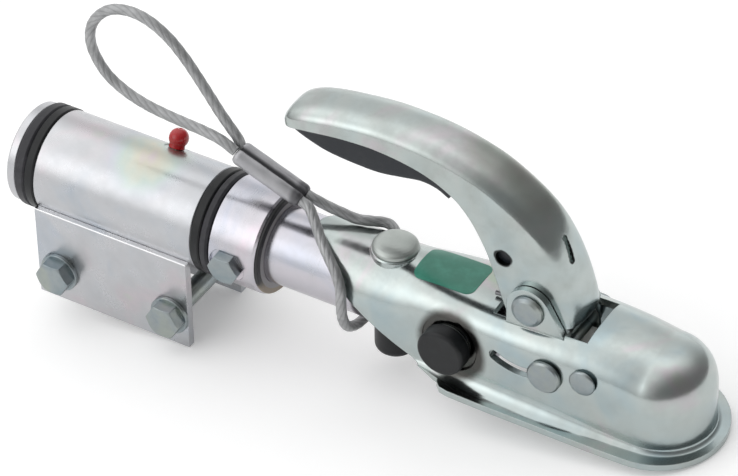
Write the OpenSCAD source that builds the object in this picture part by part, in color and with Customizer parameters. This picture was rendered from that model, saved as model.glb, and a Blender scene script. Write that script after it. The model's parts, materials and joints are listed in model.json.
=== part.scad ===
// Swivel hitch: a ball coupler on a shaft that turns in a housing bolted to a drawbar.
// X runs along the swivel axis towards the coupler's nose and Z is up. The origin lies
// midway between the two bracket bolts, in the middle of the gap for the drawbar.

/* [Housing] */
// Height of the swivel axis above the bracket bolts
axis_height = 54; // [50:1:80]
// Wall of the housing tube
housing_wall = 4; // [3:0.1:5]
// Length of the housing tube
housing_len = 105; // [90:1:160]
// Place of the grease nipple along the housing, from its middle
nipple_x = 16.5; // [-25:0.5:25]
// Lean of the grease nipple from upright
nipple_lean = 29; // [0:1:45]
// Diameter of the round cap on the grease nipple
nipple_cap_d = 14; // [13:0.5:18]

/* [Drawbar bracket] */
// Width of the drawbar that the plates take between them
drawbar_width = 50; // [40:1:52]
// Thickness of a side plate
plate_t = 5; // [4:0.5:8]
// Length of a side plate
plate_len = 101.5; // [95:0.5:140]
// Depth of a plate below the bracket bolts
plate_drop = 20; // [16:1:40]
// Depth of the plates' top edges below the swivel axis
ledge_drop = 14; // [10:0.5:16]
// Distance between the bracket bolts
bracket_bolt_pitch = 75; // [50:1:78]
// Relief of the plates' inner edges under the tube
plate_relief = 0.8; // [0.5:0.1:1.2]

/* [Bushes] */
// Thickness of a bush's flange
bush_flange_t = 6; // [3:0.5:10]
// Length of a bush's sleeve inside the housing
bush_sleeve_len = 26; // [12:1:40]
// Wall of a bush's sleeve
bush_wall = 3.47; // [2:0.01:6]
// Step from the housing tube out to the bush flanges and seal rings
ring_step = 0.55; // [0:0.05:2]
// Thickness of the rear seal ring
rear_seal_t = 7; // [3:0.5:10]
// Thickness of the front seal ring
front_seal_t = 5.5; // [3:0.5:10]

/* [Shaft and collar] */
// Outside diameter of the shaft tube
shaft_d = 45; // [40:0.5:46]
// Wall of the shaft tube
shaft_wall = 4; // [3:0.5:6]
// Width of the end disc's lip round the shaft
disc_lip = 7; // [4:0.5:8]
// Thickness of the end disc
disc_t = 5.7; // [4:0.1:10]
// Wall of the collar
collar_wall = 7.8; // [5:0.1:10]
// Length of the collar
collar_len = 30; // [24:1:40]
// Place of the collar's screw, as a share of its length
collar_screw_share = 0.42; // [0.35:0.01:0.65]
// Angle of the collar's screw below level
collar_screw_angle = 5; // [0:1:60]
// Thickness of the rubber ring in front of the collar
collar_ring_t = 2; // [1:0.5:4]

/* [Fasteners] */
// Thread diameter of the large bolts
bolt_d = 12; // [10:1:12]
// Width across flats of the large bolts and nuts
bolt_af = 19; // [17:0.5:22]
// Height of the large bolt heads
head_h = 7.5; // [6:0.1:9]
// Height of the large nuts
nut_h = 10.8; // [8:0.1:12]
// Diameter of the large washers
washer_d = 24; // [22:0.5:28]
// Thickness of the large washers
washer_t = 2.5; // [1.5:0.1:3]
// Thread diameter of the collar's screw
screw_d = 10; // [8:1:12]
// Width across flats of the collar's screw
screw_af = 17; // [13:0.5:19]
// Head height of the collar's screw
screw_head_h = 6.4; // [5:0.1:8]
// Width across flats of the coupler's nuts and cross bolt
clamp_af = 18; // [17:0.5:19]
// Wall of the plastic caps over them
cap_wall = 1.4; // [1:0.1:2.5]
// Height of the caps over the nuts
cap_h = 18.5; // [16:0.5:22]
// Diameter of the upright bolt's round head
cup_head_d = 26; // [22:0.5:28]
// Height of that head
cup_head_h = 6; // [4:0.1:8]

/* [Coupler body] */
// Bare shaft between the collar and the coupler
coupler_gap = 24; // [20:1:40]
// Thickness of the pressed sheet
sheet = 4; // [3:0.5:4.5]
// From the coupler's rear end to its upright bolt
rear_bolt_x = 49; // [44:1:54]
// From the coupler's rear end to its cross bolt
cross_bolt_x = 98; // [92:1:99]
// Bare end of the shaft past the cross bolt
shaft_past_bolt = 16; // [14:0.5:17]
// From the coupler's rear end to the ball's centre
ball_x = 211.5; // [208:0.5:220]
// Depth of the ball's centre below the swivel axis
ball_drop = 14; // [12:0.5:15]
// Diameter of the tow ball
ball_d = 50; // [49:0.1:50.8]
// Depth of the rim's lower face below the swivel axis
rim_drop = 26; // [24:0.5:30]
// Thickness of the rim
rim_t = 4; // [3:0.5:5]
// Half width of the rim
rim_half = 40.5; // [38:0.5:44]
// Radius of the nose above the rim
nose_r = 30; // [29.5:0.5:32]
// From the handle's pivot back to the edge of the body's opening
opening_behind = 22.2; // [22:0.1:26]

/* [Handle] */
// From the coupler's rear end to the handle's pivot
pivot_x = 142; // [140:1:144]
// Height of the handle's pivot above the swivel axis
pivot_rise = 37; // [35:0.5:39]
// Width of the handle
handle_width = 33.4; // [30:0.2:34]
// Sheet of the handle
handle_sheet = 2.8; // [2:0.1:3.5]
// Corner radius of the handle
handle_corner = 10; // [6:0.5:12]
// Diameter of the handle's pivot
pivot_d = 10; // [8:0.5:12]
// Diameter of the rivet heads on the pivot
pivot_head_d = 19; // [15:0.5:22]
// Radius of the ears around the pivot
ear_r = 13; // [12:0.5:15]
// Distance from the handle's pivot to the locking pin
pin_reach = 34.5; // [33:0.1:36]
// Angle of the locking pin ahead of straight below the pivot
pin_lead = 28; // [24:0.5:30]
// Turn of the handle from locked to open
handle_travel = 54; // [40:1:56]
// Diameter of the locking pin between the handle's legs
locking_pin_d = 10; // [8:0.5:10]
// Diameter of the padlock hole through the handle's sides
lock_hole_d = 9; // [6:0.5:10]
// Width of the curved slots in the coupler's sides
slot_w = 6.4; // [5:0.1:8]
// Diameter of the locking pin's heads
locking_head_d = 19.5; // [16:0.5:22]

/* [Jaw] */
// From the handle's pivot forward to the jaw's pin
jaw_pin_ahead = 38.5; // [37:0.5:42]
// From the handle's pivot down to the jaw's pin
jaw_pin_below = 25.5; // [24:0.5:27]
// Diameter of the jaw's pin
jaw_pin_d = 8; // [7:0.5:10]
// Diameter of the heads on the jaw's pin
jaw_head_d = 15; // [13:0.5:17]
// Width of the jaw behind the ball
jaw_width = 36; // [28:1:38]
// Width of the jaw at its pin, between the handle's legs
jaw_hub_width = 24; // [18:1:25]

/* [Rope] */
// Diameter of the wire rope
rope_d = 6; // [5:0.2:6]
// Length of the ferrule
ferrule_len = 44; // [36:1:46]
// Wall of the ferrule round the ropes
ferrule_wall = 1.8; // [1.5:0.1:3]

/* [Fits] */
// Radial clearance of the shaft in its bushes
bush_clear = 0.08; // [0.05:0.01:0.1]
// Radial clearance of a pin in its hole
pin_clear = 0.08; // [0.05:0.01:0.1]
// Radial clearance of a bolt in its hole
bolt_clear = 0.5; // [0.3:0.05:0.8]
// Clearance between parts that sit on each other
seat_clear = 0.1; // [0.05:0.01:0.2]
// Clearance between parts that move past each other
side_clear = 0.5; // [0.3:0.05:0.8]

/* [Hidden] */
$fn = 64;
cut = 1;

// Places along the swivel axis.
housing_end = housing_len / 2;
front_ring_end = housing_end + bush_flange_t + front_seal_t;
rear_ring_end = -housing_end - bush_flange_t - rear_seal_t;
collar_x = front_ring_end + seat_clear;
collar_end = collar_x + collar_len;
coupler_x = collar_end + coupler_gap;
shaft_end = coupler_x + cross_bolt_x + shaft_past_bolt;
rear_bolt_at = coupler_x + rear_bolt_x;
cross_bolt_at = coupler_x + cross_bolt_x;
ball_at = coupler_x + ball_x;
pivot_at = coupler_x + pivot_x;

// Heights and half widths.
shaft_r = shaft_d / 2;
housing_r = shaft_r + bush_clear + bush_wall + seat_clear + housing_wall;
ring_r = housing_r + ring_step;
collar_r = shaft_r + seat_clear + collar_wall;
plate_y = drawbar_width / 2;
plate_top = axis_height - ledge_drop;
axis_z = axis_height;
rim_low = axis_z - rim_drop;
rim_high = rim_low + rim_t;
ball_z = axis_z - ball_drop;
pivot_z = axis_z + pivot_rise;
pin_x = pivot_at + pin_reach * sin(pin_lead);
pin_z = pivot_z - pin_reach * cos(pin_lead);
jaw_x = pivot_at + jaw_pin_ahead;
jaw_z = pivot_z - jaw_pin_below;
side_half = 31;
ear_in = handle_width / 2 + side_clear;
ear_out = ear_in + sheet;
leg_out = handle_width / 2;
leg_in = leg_out - handle_sheet;
cap_in = clamp_af / cos(30) / 2 + 2 * seat_clear;
recess_r = cap_in + cap_wall + 4.6;

// The plan and section of the pressed body, from its rear end to the ball's centre:
// distance, half width, top above the axis, roundness, and the flare at the foot.
body_keys = [
    [0, [shaft_r + sheet, shaft_r + sheet, 2, 1]],
    [60, [shaft_r + sheet, shaft_r + sheet, 2, 1.5]],
    [80, [27, 26, 2.7, 3]],
    [100, [28, 25.6, 3.4, 7]],
    [128, [30, 25.8, 3.6, 8.5]],
    [158, [31, 28, 3.3, 8.5]],
    [176, [31, 29.2, 3, 7]],
    [194, [30.7, 28.8, 2.8, 5]],
    [ball_x, [nose_r, 27, 2.6, 3.5]]
];

// Smooth value between keys: a cubic through each pair, with slopes from the neighbours.
function key_slope(k, i) =
    let (a = max(i - 1, 0), b = min(i + 1, len(k) - 1))
    (k[b][1] - k[a][1]) / (k[b][0] - k[a][0]);
function key_index(k, x, i = 0) =
    i >= len(k) - 2 || x < k[i + 1][0] ? i : key_index(k, x, i + 1);
function smooth_key(k, x) =
    let (i = key_index(k, x), d = k[i + 1][0] - k[i][0], t = (x - k[i][0]) / d)
    k[i][1] * (1 + 2 * t) * (1 - t) * (1 - t) + key_slope(k, i) * d * t * (1 - t) * (1 - t)
    + k[i + 1][1] * t * t * (3 - 2 * t) + key_slope(k, i + 1) * d * t * t * (t - 1);

// Quarter of a superellipse from the crown (0, h) to the side (w, 0).
function crown(w, h, p, n) = [
    for (i = [0 : n])
        [w * pow(sin(90 * i / n), 2 / p), h * pow(cos(90 * i / n), 2 / p)]
];
// Hollow corner that runs from an upright wall at w out to the rim at w + f.
function flare(w, f, low, n) = [
    for (i = [0 : n]) [w + f * (1 - cos(90 * i / n)), low + f * (1 - sin(90 * i / n))]
];

// Solid through a row of closed outlines that all have the same number of points. Where
// an outline runs there and back, its two ends are closed by strips between both ways.
module loft(rings, strips = false) {
    n = len(rings[0]);
    m = len(rings);
    points = [for (r = rings) for (p = r) p];
    sides = [
        for (i = [0 : m - 2]) for (j = [0 : n - 1])
            [i * n + j, i * n + (j + 1) % n, (i + 1) * n + (j + 1) % n, (i + 1) * n + j]
    ];
    ends = strips
        ? [for (j = [0 : n / 2 - 2]) [j, j + 1, n - 2 - j, n - 1 - j]]
        : [[for (j = [0 : n - 1]) j]];
    first = [for (f = ends) [for (i = [len(f) - 1 : -1 : 0]) f[i]]];
    last = [for (f = ends) [for (j = f) (m - 1) * n + j]];
    polyhedron(points, concat(first, sides, last), convexity = 8);
}

module along_x(x) translate([x, 0, axis_z]) rotate([0, 90, 0]) children();
module across_y(x, z) translate([x, 0, z]) rotate([90, 0, 0]) children();
module both_sides() {
    children();
    mirror([0, 1, 0]) children();
}

// Turned ring with small chamfers, along +Z from zero.
module turned_ring(r_out, r_in, h, edge) {
    rotate_extrude($fn = 96) polygon([
        [r_in, 0], [r_out - edge, 0], [r_out, edge], [r_out, h - edge],
        [r_out - edge, h], [r_in, h]
    ]);
}
module hex(af, h) {
    intersection() {
        cylinder(d = af / cos(30), h = h, $fn = 6);
        rotate_extrude($fn = 48) polygon([
            [0, 0], [af / 2 * 0.98, 0], [af / cos(30) / 2 + 0.01, af * 0.045],
            [af / cos(30) / 2 + 0.01, h], [0, h]
        ]);
    }
}
// Bolt along +Z: its head is below zero and its shank above.
module hex_bolt(d, af, head, shank) {
    translate([0, 0, -head]) hex(af, head);
    cylinder(d = d, h = shank);
}
module hex_nut(d, af, h) {
    difference() {
        intersection() {
            hex(af, h);
            translate([0, 0, h]) mirror([0, 0, 1]) hex(af, h);
        }
        translate([0, 0, -cut]) cylinder(d = d + 2 * seat_clear, h = h + 2 * cut);
    }
}
module washer(d_out, d_in, h) {
    turned_ring(d_out / 2, d_in / 2, h, 0.3);
}

// Housing.
module nipple_place() {
    translate([nipple_x, 0, axis_z]) rotate([-nipple_lean, 0, 0]) children();
}
nipple_r = 3;
nipple_af = 7;
nipple_seat = housing_r - 0.6;
module housing_tube() {
    color("silver") difference() {
        along_x(-housing_end)
            turned_ring(housing_r, housing_r - housing_wall, housing_len, 0.6);
        nipple_place() cylinder(r = nipple_r + seat_clear, h = 2 * housing_r);
        nipple_place() translate([0, 0, nipple_seat]) cylinder(r = nipple_af, h = housing_r);
    }
}
// Each plate meets the tube near its top edge. Its inner edge there is relieved, so that
// its flat inner face ends below the tube.
relief_low = axis_z - sqrt(pow(housing_r, 2) - pow(plate_y - 3, 2));
module side_plate() {
    difference() {
        translate([-housing_end, plate_y, -plate_drop])
            cube([plate_len, plate_t, plate_top + plate_drop]);
        translate([-housing_end - cut, 0, 0]) rotate([90, 0, 90])
            linear_extrude(plate_len + 2 * cut) polygon([
                [plate_y - cut, relief_low], [plate_y, relief_low],
                [plate_y + plate_relief, plate_top + cut], [plate_y - cut, plate_top + cut]
            ]);
        along_x(-housing_end - cut)
            cylinder(r = housing_r + seat_clear, h = plate_len + 2 * cut, $fn = 96);
        for (s = [-1, 1])
            across_y(s * bracket_bolt_pitch / 2, 0)
                cylinder(r = bolt_d / 2 + bolt_clear, h = 4 * plate_y, center = true);
    }
}
module far_side_plate() {
    color("silver") side_plate();
}
module near_side_plate() {
    color("silver") mirror([0, 1, 0]) side_plate();
}
// Flanged bush whose flange ends at zero and whose sleeve runs along +Z.
module bush() {
    difference() {
        union() {
            translate([0, 0, -bush_flange_t])
                turned_ring(ring_r, shaft_r, bush_flange_t - seat_clear, 0.8);
            translate([0, 0, -bush_flange_t / 2])
                cylinder(r = housing_r - housing_wall - seat_clear,
                         h = bush_sleeve_len + bush_flange_t / 2);
        }
        translate([0, 0, -bush_flange_t - cut])
            cylinder(r = shaft_r + bush_clear, h = bush_sleeve_len + bush_flange_t + 2 * cut);
    }
}
module rear_bush() {
    color("#222222") along_x(-housing_end) bush();
}
module front_bush() {
    color("#222222") along_x(housing_end) mirror([0, 0, 1]) bush();
}
module seal(h) {
    turned_ring(ring_r, shaft_r + bush_clear, h - seat_clear, 1.2);
}
module rear_seal() {
    color("#181818") along_x(rear_ring_end + seat_clear) seal(rear_seal_t - seat_clear);
}
module front_seal() {
    color("#181818") along_x(front_ring_end - front_seal_t) seal(front_seal_t - seat_clear);
}
module grease_nipple() {
    color("gold") nipple_place() {
        translate([0, 0, nipple_seat + seat_clear])
            cylinder(d = nipple_af / cos(30), h = 3.4, $fn = 6);
        translate([0, 0, housing_r - housing_wall]) cylinder(r = nipple_r, h = 7);
        translate([0, 0, nipple_seat + 3]) cylinder(r = 2.4, h = 3.6);
        translate([0, 0, nipple_seat + 6]) cylinder(r1 = 3.2, r2 = 2.2, h = 2.6, $fn = 32);
    }
}
// Round cap pushed over the nipple: a ball cut flat above the tube, hollow inside.
module nipple_cap() {
    r = nipple_cap_d / 2;
    low = 0.9;
    middle = low + 0.75 * r;
    from = -asin((middle - low) / r);
    color("red") nipple_place() translate([0, 0, nipple_seat]) rotate_extrude($fn = 48)
        polygon(concat(
            [[nipple_af / cos(30) / 2 + 0.2, low]],
            [for (i = [0 : 12]) let (a = from + (90 - from) * i / 12)
                [i == 12 ? 0 : r * cos(a), middle + r * sin(a)]],
            [[0, 9], [3.5, 9], [3.5, 3.9], [nipple_af / cos(30) / 2 + 0.2, 3.9]]
        ));
}

// Bracket fasteners: heads on the near side and nuts on the far side.
plate_out = plate_y + plate_t;
module at_bracket_bolts() {
    for (s = [-1, 1]) translate([s * bracket_bolt_pitch / 2, 0, 0]) children();
}
module bracket_bolts() {
    color("gainsboro") at_bracket_bolts() translate([0, -plate_out - washer_t, 0])
        rotate([-90, 0, 0])
            hex_bolt(bolt_d, bolt_af, head_h, 2 * (plate_out + washer_t) + nut_h + 3);
}
module bracket_washers() {
    color("silver") at_bracket_bolts() both_sides() translate([0, plate_out, 0])
        rotate([-90, 0, 0]) washer(washer_d, bolt_d + 2 * bolt_clear, washer_t);
}
module bracket_nuts() {
    color("silver") at_bracket_bolts() translate([0, plate_out + washer_t, 0])
        rotate([-90, 0, 0]) hex_nut(bolt_d, bolt_af, nut_h);
}

// Shaft, its end disc and its collar.
module swivel_shaft() {
    color("gainsboro") difference() {
        along_x(rear_ring_end) cylinder(r = shaft_r, h = shaft_end - rear_ring_end, $fn = 96);
        along_x(rear_ring_end - cut)
            cylinder(r = shaft_r - shaft_wall, h = shaft_end - rear_ring_end + 2 * cut);
        translate([rear_bolt_at, 0, axis_z])
            cylinder(r = bolt_d / 2 + bolt_clear, h = shaft_d + 2 * cut, center = true);
        across_y(cross_bolt_at, axis_z)
            cylinder(r = bolt_d / 2 + bolt_clear, h = shaft_d + 2 * cut, center = true);
    }
}
module end_disc() {
    color("silver") along_x(rear_ring_end - disc_t) turned_disc(shaft_r + disc_lip, disc_t);
}
module turned_disc(r, h) {
    rotate_extrude($fn = 96)
        polygon([[0, 0], [r - 1, 0], [r, 1], [r, h - 0.5], [r - 0.5, h], [0, h]]);
}
collar_screw_at = collar_x + collar_len * collar_screw_share;
module collar_screw_place() {
    translate([collar_screw_at, 0, axis_z]) rotate([collar_screw_angle, 0, 0])
        rotate([90, 0, 0]) children();
}
module collar() {
    color("gainsboro") difference() {
        along_x(collar_x)
            turned_ring(collar_r, shaft_r + seat_clear, collar_len, 1.2);
        collar_screw_place() cylinder(r = screw_d / 2 + seat_clear, h = 2 * collar_r);
        collar_screw_place() translate([0, 0, collar_r - 1.5])
            cylinder(d = screw_af + 5, h = collar_r);
    }
}
module collar_screw() {
    color("silver") collar_screw_place() {
        translate([0, 0, shaft_r + seat_clear])
            cylinder(d = screw_d, h = collar_r - shaft_r);
        translate([0, 0, collar_r - 1.5 + seat_clear + screw_head_h]) mirror([0, 0, 1])
            hex(screw_af, screw_head_h);
    }
}
module collar_ring() {
    color("#181818") along_x(collar_end + seat_clear)
        turned_ring(collar_r - 0.9, shaft_r + seat_clear, collar_ring_t, 0.6);
}

// Coupler body: a pressed shell. Its sections follow the plan from the rear end to the
// ball's centre, and from there the last section turns about the ball's upright axis.
crown_n = 8;
flare_n = 4;
nose_n = 15;
blend = 0.04;
function half_section(w, h, p, f, low) = concat(
    crown(w, h, p, crown_n), flare(w, f, rim_high - axis_z - blend, flare_n), [[w + f, low]]
);
// Ring across X from a half section, over the crown from one side to the other.
function ring_at(x, half) = concat(
    [for (i = [len(half) - 1 : -1 : 1]) [x, -half[i][0], half[i][1]]],
    [for (q = half) [x, q[0], q[1]]]
);
// Points that the last half section reaches after a turn, left side then right side.
function turned(x, half, turn) = concat(
    [for (i = [len(half) - 1 : -1 : 1])
        [x + half[i][0] * sin(turn), -half[i][0] * cos(turn), half[i][1]]],
    turn == 90 ? [] : [for (i = [1 : len(half) - 1])
        [x + half[i][0] * sin(turn), half[i][0] * cos(turn), half[i][1]]]
);
function open_face(f) = [for (i = [0 : len(f) - 1]) if (f[i] != f[(i + 1) % len(f)]) f[i]];
module shoe(rings, x, half) {
    side = len(half) - 1;
    n = 2 * side + 1;
    m = len(rings);
    pole = (m - 1) * n + side;
    points = concat(
        [for (r = rings) for (p = r) p],
        [for (k = [1 : nose_n]) for (p = turned(x, half, 90 * k / nose_n)) p]
    );
    // Number of the point at place j of ring r; the nose's rings share the crown's point.
    function at(r, j) =
        r < m ? r * n + j
        : j == side ? pole
        : r == m + nose_n - 1 ? m * n + (nose_n - 1) * 2 * side + min(j, 2 * side - j)
        : m * n + (r - m) * 2 * side + (j < side ? j : j - 1);
    polyhedron(points, concat(
        [[for (j = [n - 1 : -1 : 0]) j]],
        [for (r = [0 : m + nose_n - 2]) for (j = [0 : n - 1])
            let (f = open_face([at(r, j), at(r, (j + 1) % n), at(r + 1, (j + 1) % n),
                                at(r + 1, j)]))
                if (len(f) > 2) f]
    ), convexity = 8);
}
neck_len = body_keys[1][0];
body_steps = concat([0], [for (i = [0 : 25]) neck_len + (ball_x - neck_len) * i / 25]);
function outer_half(x) = let (k = smooth_key(body_keys, x))
    half_section(k[0], k[1], k[2], k[3], cut - rim_drop);
module body_outside() {
    translate([coupler_x, 0, axis_z])
        shoe([for (x = body_steps) ring_at(x, outer_half(x))], ball_x, outer_half(ball_x));
}
nose_wall = nose_r - ball_d / 2 + 0.6;
function inner_half(x) =
    let (k = smooth_key(body_keys, max(x, 0)),
         t = sheet + (nose_wall - sheet) * pow(max(x, 0) / ball_x, 8),
         w = x < cross_bolt_x + 22 ? max(k[0] - t, shaft_r - 0.4) : k[0] - t)
    concat(crown(w, k[1] - sheet, k[2], crown_n), [[w, -rim_drop - cut]]);
module body_inside() {
    translate([coupler_x, 0, axis_z]) shoe(
        [for (x = concat([-cut], body_steps)) ring_at(x, inner_half(x))],
        ball_x, inner_half(ball_x)
    );
    translate([ball_at, 0, ball_z]) sphere(d = ball_d + 0.5, $fn = 96);
    translate([ball_at, 0, rim_low - cut])
        cylinder(d = ball_d + 0.5, h = ball_z - rim_low + cut, $fn = 96);
}
rim_nose_x = ball_at - 2.5;
module rim_plate() {
    translate([0, 0, rim_low]) linear_extrude(rim_t) {
        translate([rim_nose_x, 0]) circle(r = rim_half - 0.5, $fn = 128);
        polygon([
            [coupler_x + 93, -30], [coupler_x + 97, 2 - rim_half], [rim_nose_x - 80, -rim_half],
            [rim_nose_x - 20, -rim_half], [rim_nose_x, 0.5 - rim_half],
            [rim_nose_x, rim_half - 0.5], [rim_nose_x - 20, rim_half],
            [rim_nose_x - 80, rim_half], [coupler_x + 97, rim_half - 2], [coupler_x + 93, 30]
        ]);
    }
}
// The body's rear edge sweeps down and forward from the top of the shaft to the rim.
function bezier(a, b, c, d, t) =
    a * pow(1 - t, 3) + b * 3 * t * pow(1 - t, 2) + c * 3 * t * t * (1 - t) + d * pow(t, 3);
rear_sweep = [
    for (i = [0 : 16]) bezier([0, 27], [26, 20], [34, -14], [98, -rim_drop - 0.5], i / 16)
];
module rear_cut() {
    translate([coupler_x, 0, axis_z]) rotate([90, 0, 0])
        linear_extrude(2 * rim_half + 20, center = true)
            polygon(concat([[-10, 30], [0, 30]], rear_sweep, [[98, -40], [-10, -40]]));
}
module ear_outline() {
    translate([pivot_at, pivot_z]) circle(r = ear_r);
    polygon([
        [pivot_at - ear_r, axis_z + 15], [pivot_at - ear_r, pivot_z],
        [pivot_at + ear_r * cos(46), pivot_z + ear_r * sin(46)],
        [pivot_at + 30, axis_z + 27], [pivot_at + 30, axis_z + 15]
    ]);
}
module arc_slot(r, w, from, to, h) {
    rotate_extrude(angle = to - from, $fn = 96) translate([r - w / 2, 0]) square([w, h]);
    for (a = [0, to - from]) rotate(a) translate([r, 0, 0]) cylinder(d = w, h = h, $fn = 32);
}
module pin_slot() {
    translate([pivot_at, 50, pivot_z]) rotate([90, 0, 0])
        rotate(-90 + pin_lead - handle_travel)
            arc_slot(pin_reach, slot_w, 0, handle_travel, 100);
}
// Sheet round a side pocket. Its inner face starts inside the shaft's bore, which then
// leaves a seat that follows the shaft.
module recess_cup() {
    across_y(cross_bolt_at, axis_z) translate([0, 0, shaft_r + seat_clear - cut])
        cylinder(r = recess_r + sheet, h = side_half);
}
module pressing() {
    difference() {
        union() {
            body_outside();
            rim_plate();
        }
        difference() {
            body_inside();
            both_sides() recess_cup();
        }
        translate([pivot_at - opening_behind, -ear_in - 1, axis_z + 10])
            cube([opening_behind + ear_r + 21, 2 * ear_in + 2, 30]);
    }
}
module coupler_body() {
    color("gainsboro") difference() {
        union() {
            pressing();
            both_sides() translate([0, ear_out, 0]) rotate([90, 0, 0])
                linear_extrude(sheet) ear_outline();
            translate([rear_bolt_at, 0, axis_z + shaft_r - 2])
                cylinder(d = cup_head_d + 1, h = pad_top - axis_z - shaft_r + 2);
        }
        rear_cut();
        along_x(coupler_x - cut)
            cylinder(r = shaft_r + seat_clear, h = shaft_end - coupler_x + 2 * cut, $fn = 96);
        both_sides() across_y(cross_bolt_at, axis_z)
            translate([0, 0, shaft_r + seat_clear + sheet]) cylinder(r = recess_r, h = 30);
        across_y(cross_bolt_at, axis_z)
            cylinder(r = bolt_d / 2 + bolt_clear, h = 100, center = true);
        translate([rear_bolt_at, 0, axis_z]) cylinder(r = bolt_d / 2 + bolt_clear, h = 60);
        across_y(pivot_at, pivot_z)
            cylinder(r = pivot_d / 2 + pin_clear, h = 100, center = true);
        across_y(jaw_x, jaw_z)
            cylinder(r = jaw_pin_d / 2 + pin_clear, h = 100, center = true);
        pin_slot();
    }
}

// Clamp bolts of the coupler.
pad_top = axis_z + shaft_r + seat_clear + sheet;
seat_y = shaft_r + seat_clear + sheet;
nut_stack = washer_t + nut_h;
rear_nut_z = axis_z - shaft_r - seat_clear;
module rear_bolt() {
    color("silver") translate([rear_bolt_at, 0, 0]) {
        rise = cup_head_h - 1.2;
        translate([0, 0, pad_top]) rotate_extrude($fn = 64) polygon(concat(
            [[0, 0], [cup_head_d / 2 - 0.3, 0], [cup_head_d / 2, 0.3]],
            [for (a = [0 : 11.25 : 90]) [cup_head_d / 2 * cos(a), 1.2 + rise * sin(a)]]
        ));
        translate([0, 0, rear_nut_z - nut_stack - 3])
            cylinder(d = bolt_d, h = pad_top - rear_nut_z + nut_stack + 3 + 0.5);
    }
}
module cross_bolt() {
    color("silver") translate([cross_bolt_at, -seat_y - washer_t, axis_z])
        rotate([-90, 0, 0])
            hex_bolt(bolt_d, clamp_af, head_h, 2 * seat_y + washer_t + nut_stack + 3);
}
module below_shaft() {
    translate([rear_bolt_at, 0, rear_nut_z]) mirror([0, 0, 1]) children();
}
module beyond_far_seat() {
    translate([cross_bolt_at, seat_y, axis_z]) rotate([-90, 0, 0]) children();
}
module clamp_washers() {
    color("silver") {
        below_shaft() washer(washer_d, bolt_d + 2 * bolt_clear, washer_t);
        beyond_far_seat() washer(washer_d, bolt_d + 2 * bolt_clear, washer_t);
        mirror([0, 1, 0]) beyond_far_seat()
            washer(washer_d, bolt_d + 2 * bolt_clear, washer_t);
    }
}
module clamp_nuts() {
    color("silver") {
        below_shaft() translate([0, 0, washer_t]) hex_nut(bolt_d, clamp_af, nut_h);
        beyond_far_seat() translate([0, 0, washer_t]) hex_nut(bolt_d, clamp_af, nut_h);
    }
}
// Hollow plastic cap with a rounded end, open at zero, over a clamp nut or head.
module cap(wall, hollow, h, edge) {
    r = cap_in + wall;
    difference() {
        rotate_extrude($fn = 64) polygon(concat(
            [[0, 0], [r - 0.4, 0], [r, 0.4]],
            [for (a = [0 : 18 : 90]) [r - edge * (1 - cos(a)), h - edge + edge * sin(a)]],
            [[0, h]]
        ));
        translate([0, 0, -cut]) cylinder(r = cap_in, h = hollow + cut);
        translate([0, 0, -cut]) cylinder(d = bolt_d + 1, h = h - cap_wall + cut);
    }
}
module nut_caps() {
    color("#1a1a1a") {
        below_shaft() translate([0, 0, washer_t]) cap(cap_wall, nut_h + 0.5, cap_h, 4);
        beyond_far_seat() translate([0, 0, washer_t]) cap(cap_wall, nut_h + 0.5, cap_h, 4);
    }
}
module head_cap() {
    color("#1a1a1a") translate([cross_bolt_at, -seat_y - washer_t - seat_clear, axis_z])
        rotate([90, 0, 0]) cap(cap_wall + 2, head_h + 0.3, head_h + 0.4 + cap_wall, 2);
}

// Pins of the handle and the jaw.
module rivet(d, grip, head_d, head) {
    both_ends = grip / 2 + seat_clear;
    translate([0, 0, -both_ends - head / 2]) cylinder(d = d, h = 2 * both_ends + head);
    for (s = [0, 1]) mirror([0, 0, s]) translate([0, 0, both_ends]) rotate_extrude($fn = 64)
        polygon([
            [0, 0], [head_d / 2 - 0.3, 0], [head_d / 2, 0.3],
            [head_d / 2 - 0.5, head * 0.6], [head_d / 2 - 2.5, head], [0, head]
        ]);
}
module handle_pivot() {
    color("silver") across_y(pivot_at, pivot_z) rivet(pivot_d, 2 * ear_out, pivot_head_d, 3);
}
module jaw_pin() {
    color("silver") across_y(jaw_x, jaw_z)
        rivet(jaw_pin_d, 2 * (side_half + 0.2), jaw_head_d, 2.6);
}

// Handle: a pressed channel along a bent path. Each key gives, from the pivot, the middle
// of the outer face, the lower edge of the side, and the half width.
handle_keys = [
    [0, [-155.6, 61.6, -155.6, 59.4, 0.5]],
    [3.5, [-154.8, 65.3, -154, 59.2, 0.72]],
    [9, [-151, 69.4, -150, 59.8, 0.9]],
    [21, [-140, 74, -138, 62.6, 1]],
    [45, [-116.5, 78.4, -116, 65.6, 1]],
    [69, [-93, 80.5, -93.5, 66.3, 1]],
    [100, [-62, 78.6, -67, 62, 1]],
    [129, [-34, 71.4, -48, 53, 1]],
    [149, [-16, 62.3, -38.5, 43.5, 1]],
    [169, [-0.3, 50.9, -31.8, 33, 1]],
    [184, [9.6, 39.5, -26.8, 23, 1]],
    [203, [18.5, 23, -21.7, 9, 1]],
    [224, [25.3, 3.4, -15, -10, 1]],
    [233, [26.8, -5.5, -9.5, -19, 1]]
];
// Depth of the grip's insert below the handle's outer face, along the handle.
insert_keys = [
    [9, 14], [21, 22.7], [35, 28.3], [57, 32.6], [69, 33], [85, 30.7], [100, 28], [114, 28.2],
    [127, 31]
];
handle_steps = [for (i = [0 : 34]) i < 6 ? 3 * i : 15 + (i - 5) * 218 / 29];
// The same point to a tenth of a micron, so that flat sides stay flat.
function tidy(p) = [for (c = p) round(c * 10000) / 10000];
// Point of a section: y across, and s down from the outer face towards the lower edge.
function section_point(k, y, s) =
    let (run = norm([k[2] - k[0], k[3] - k[1]]))
    tidy([k[0] + (k[2] - k[0]) * s / run, y, k[1] + (k[3] - k[1]) * s / run]);
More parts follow.
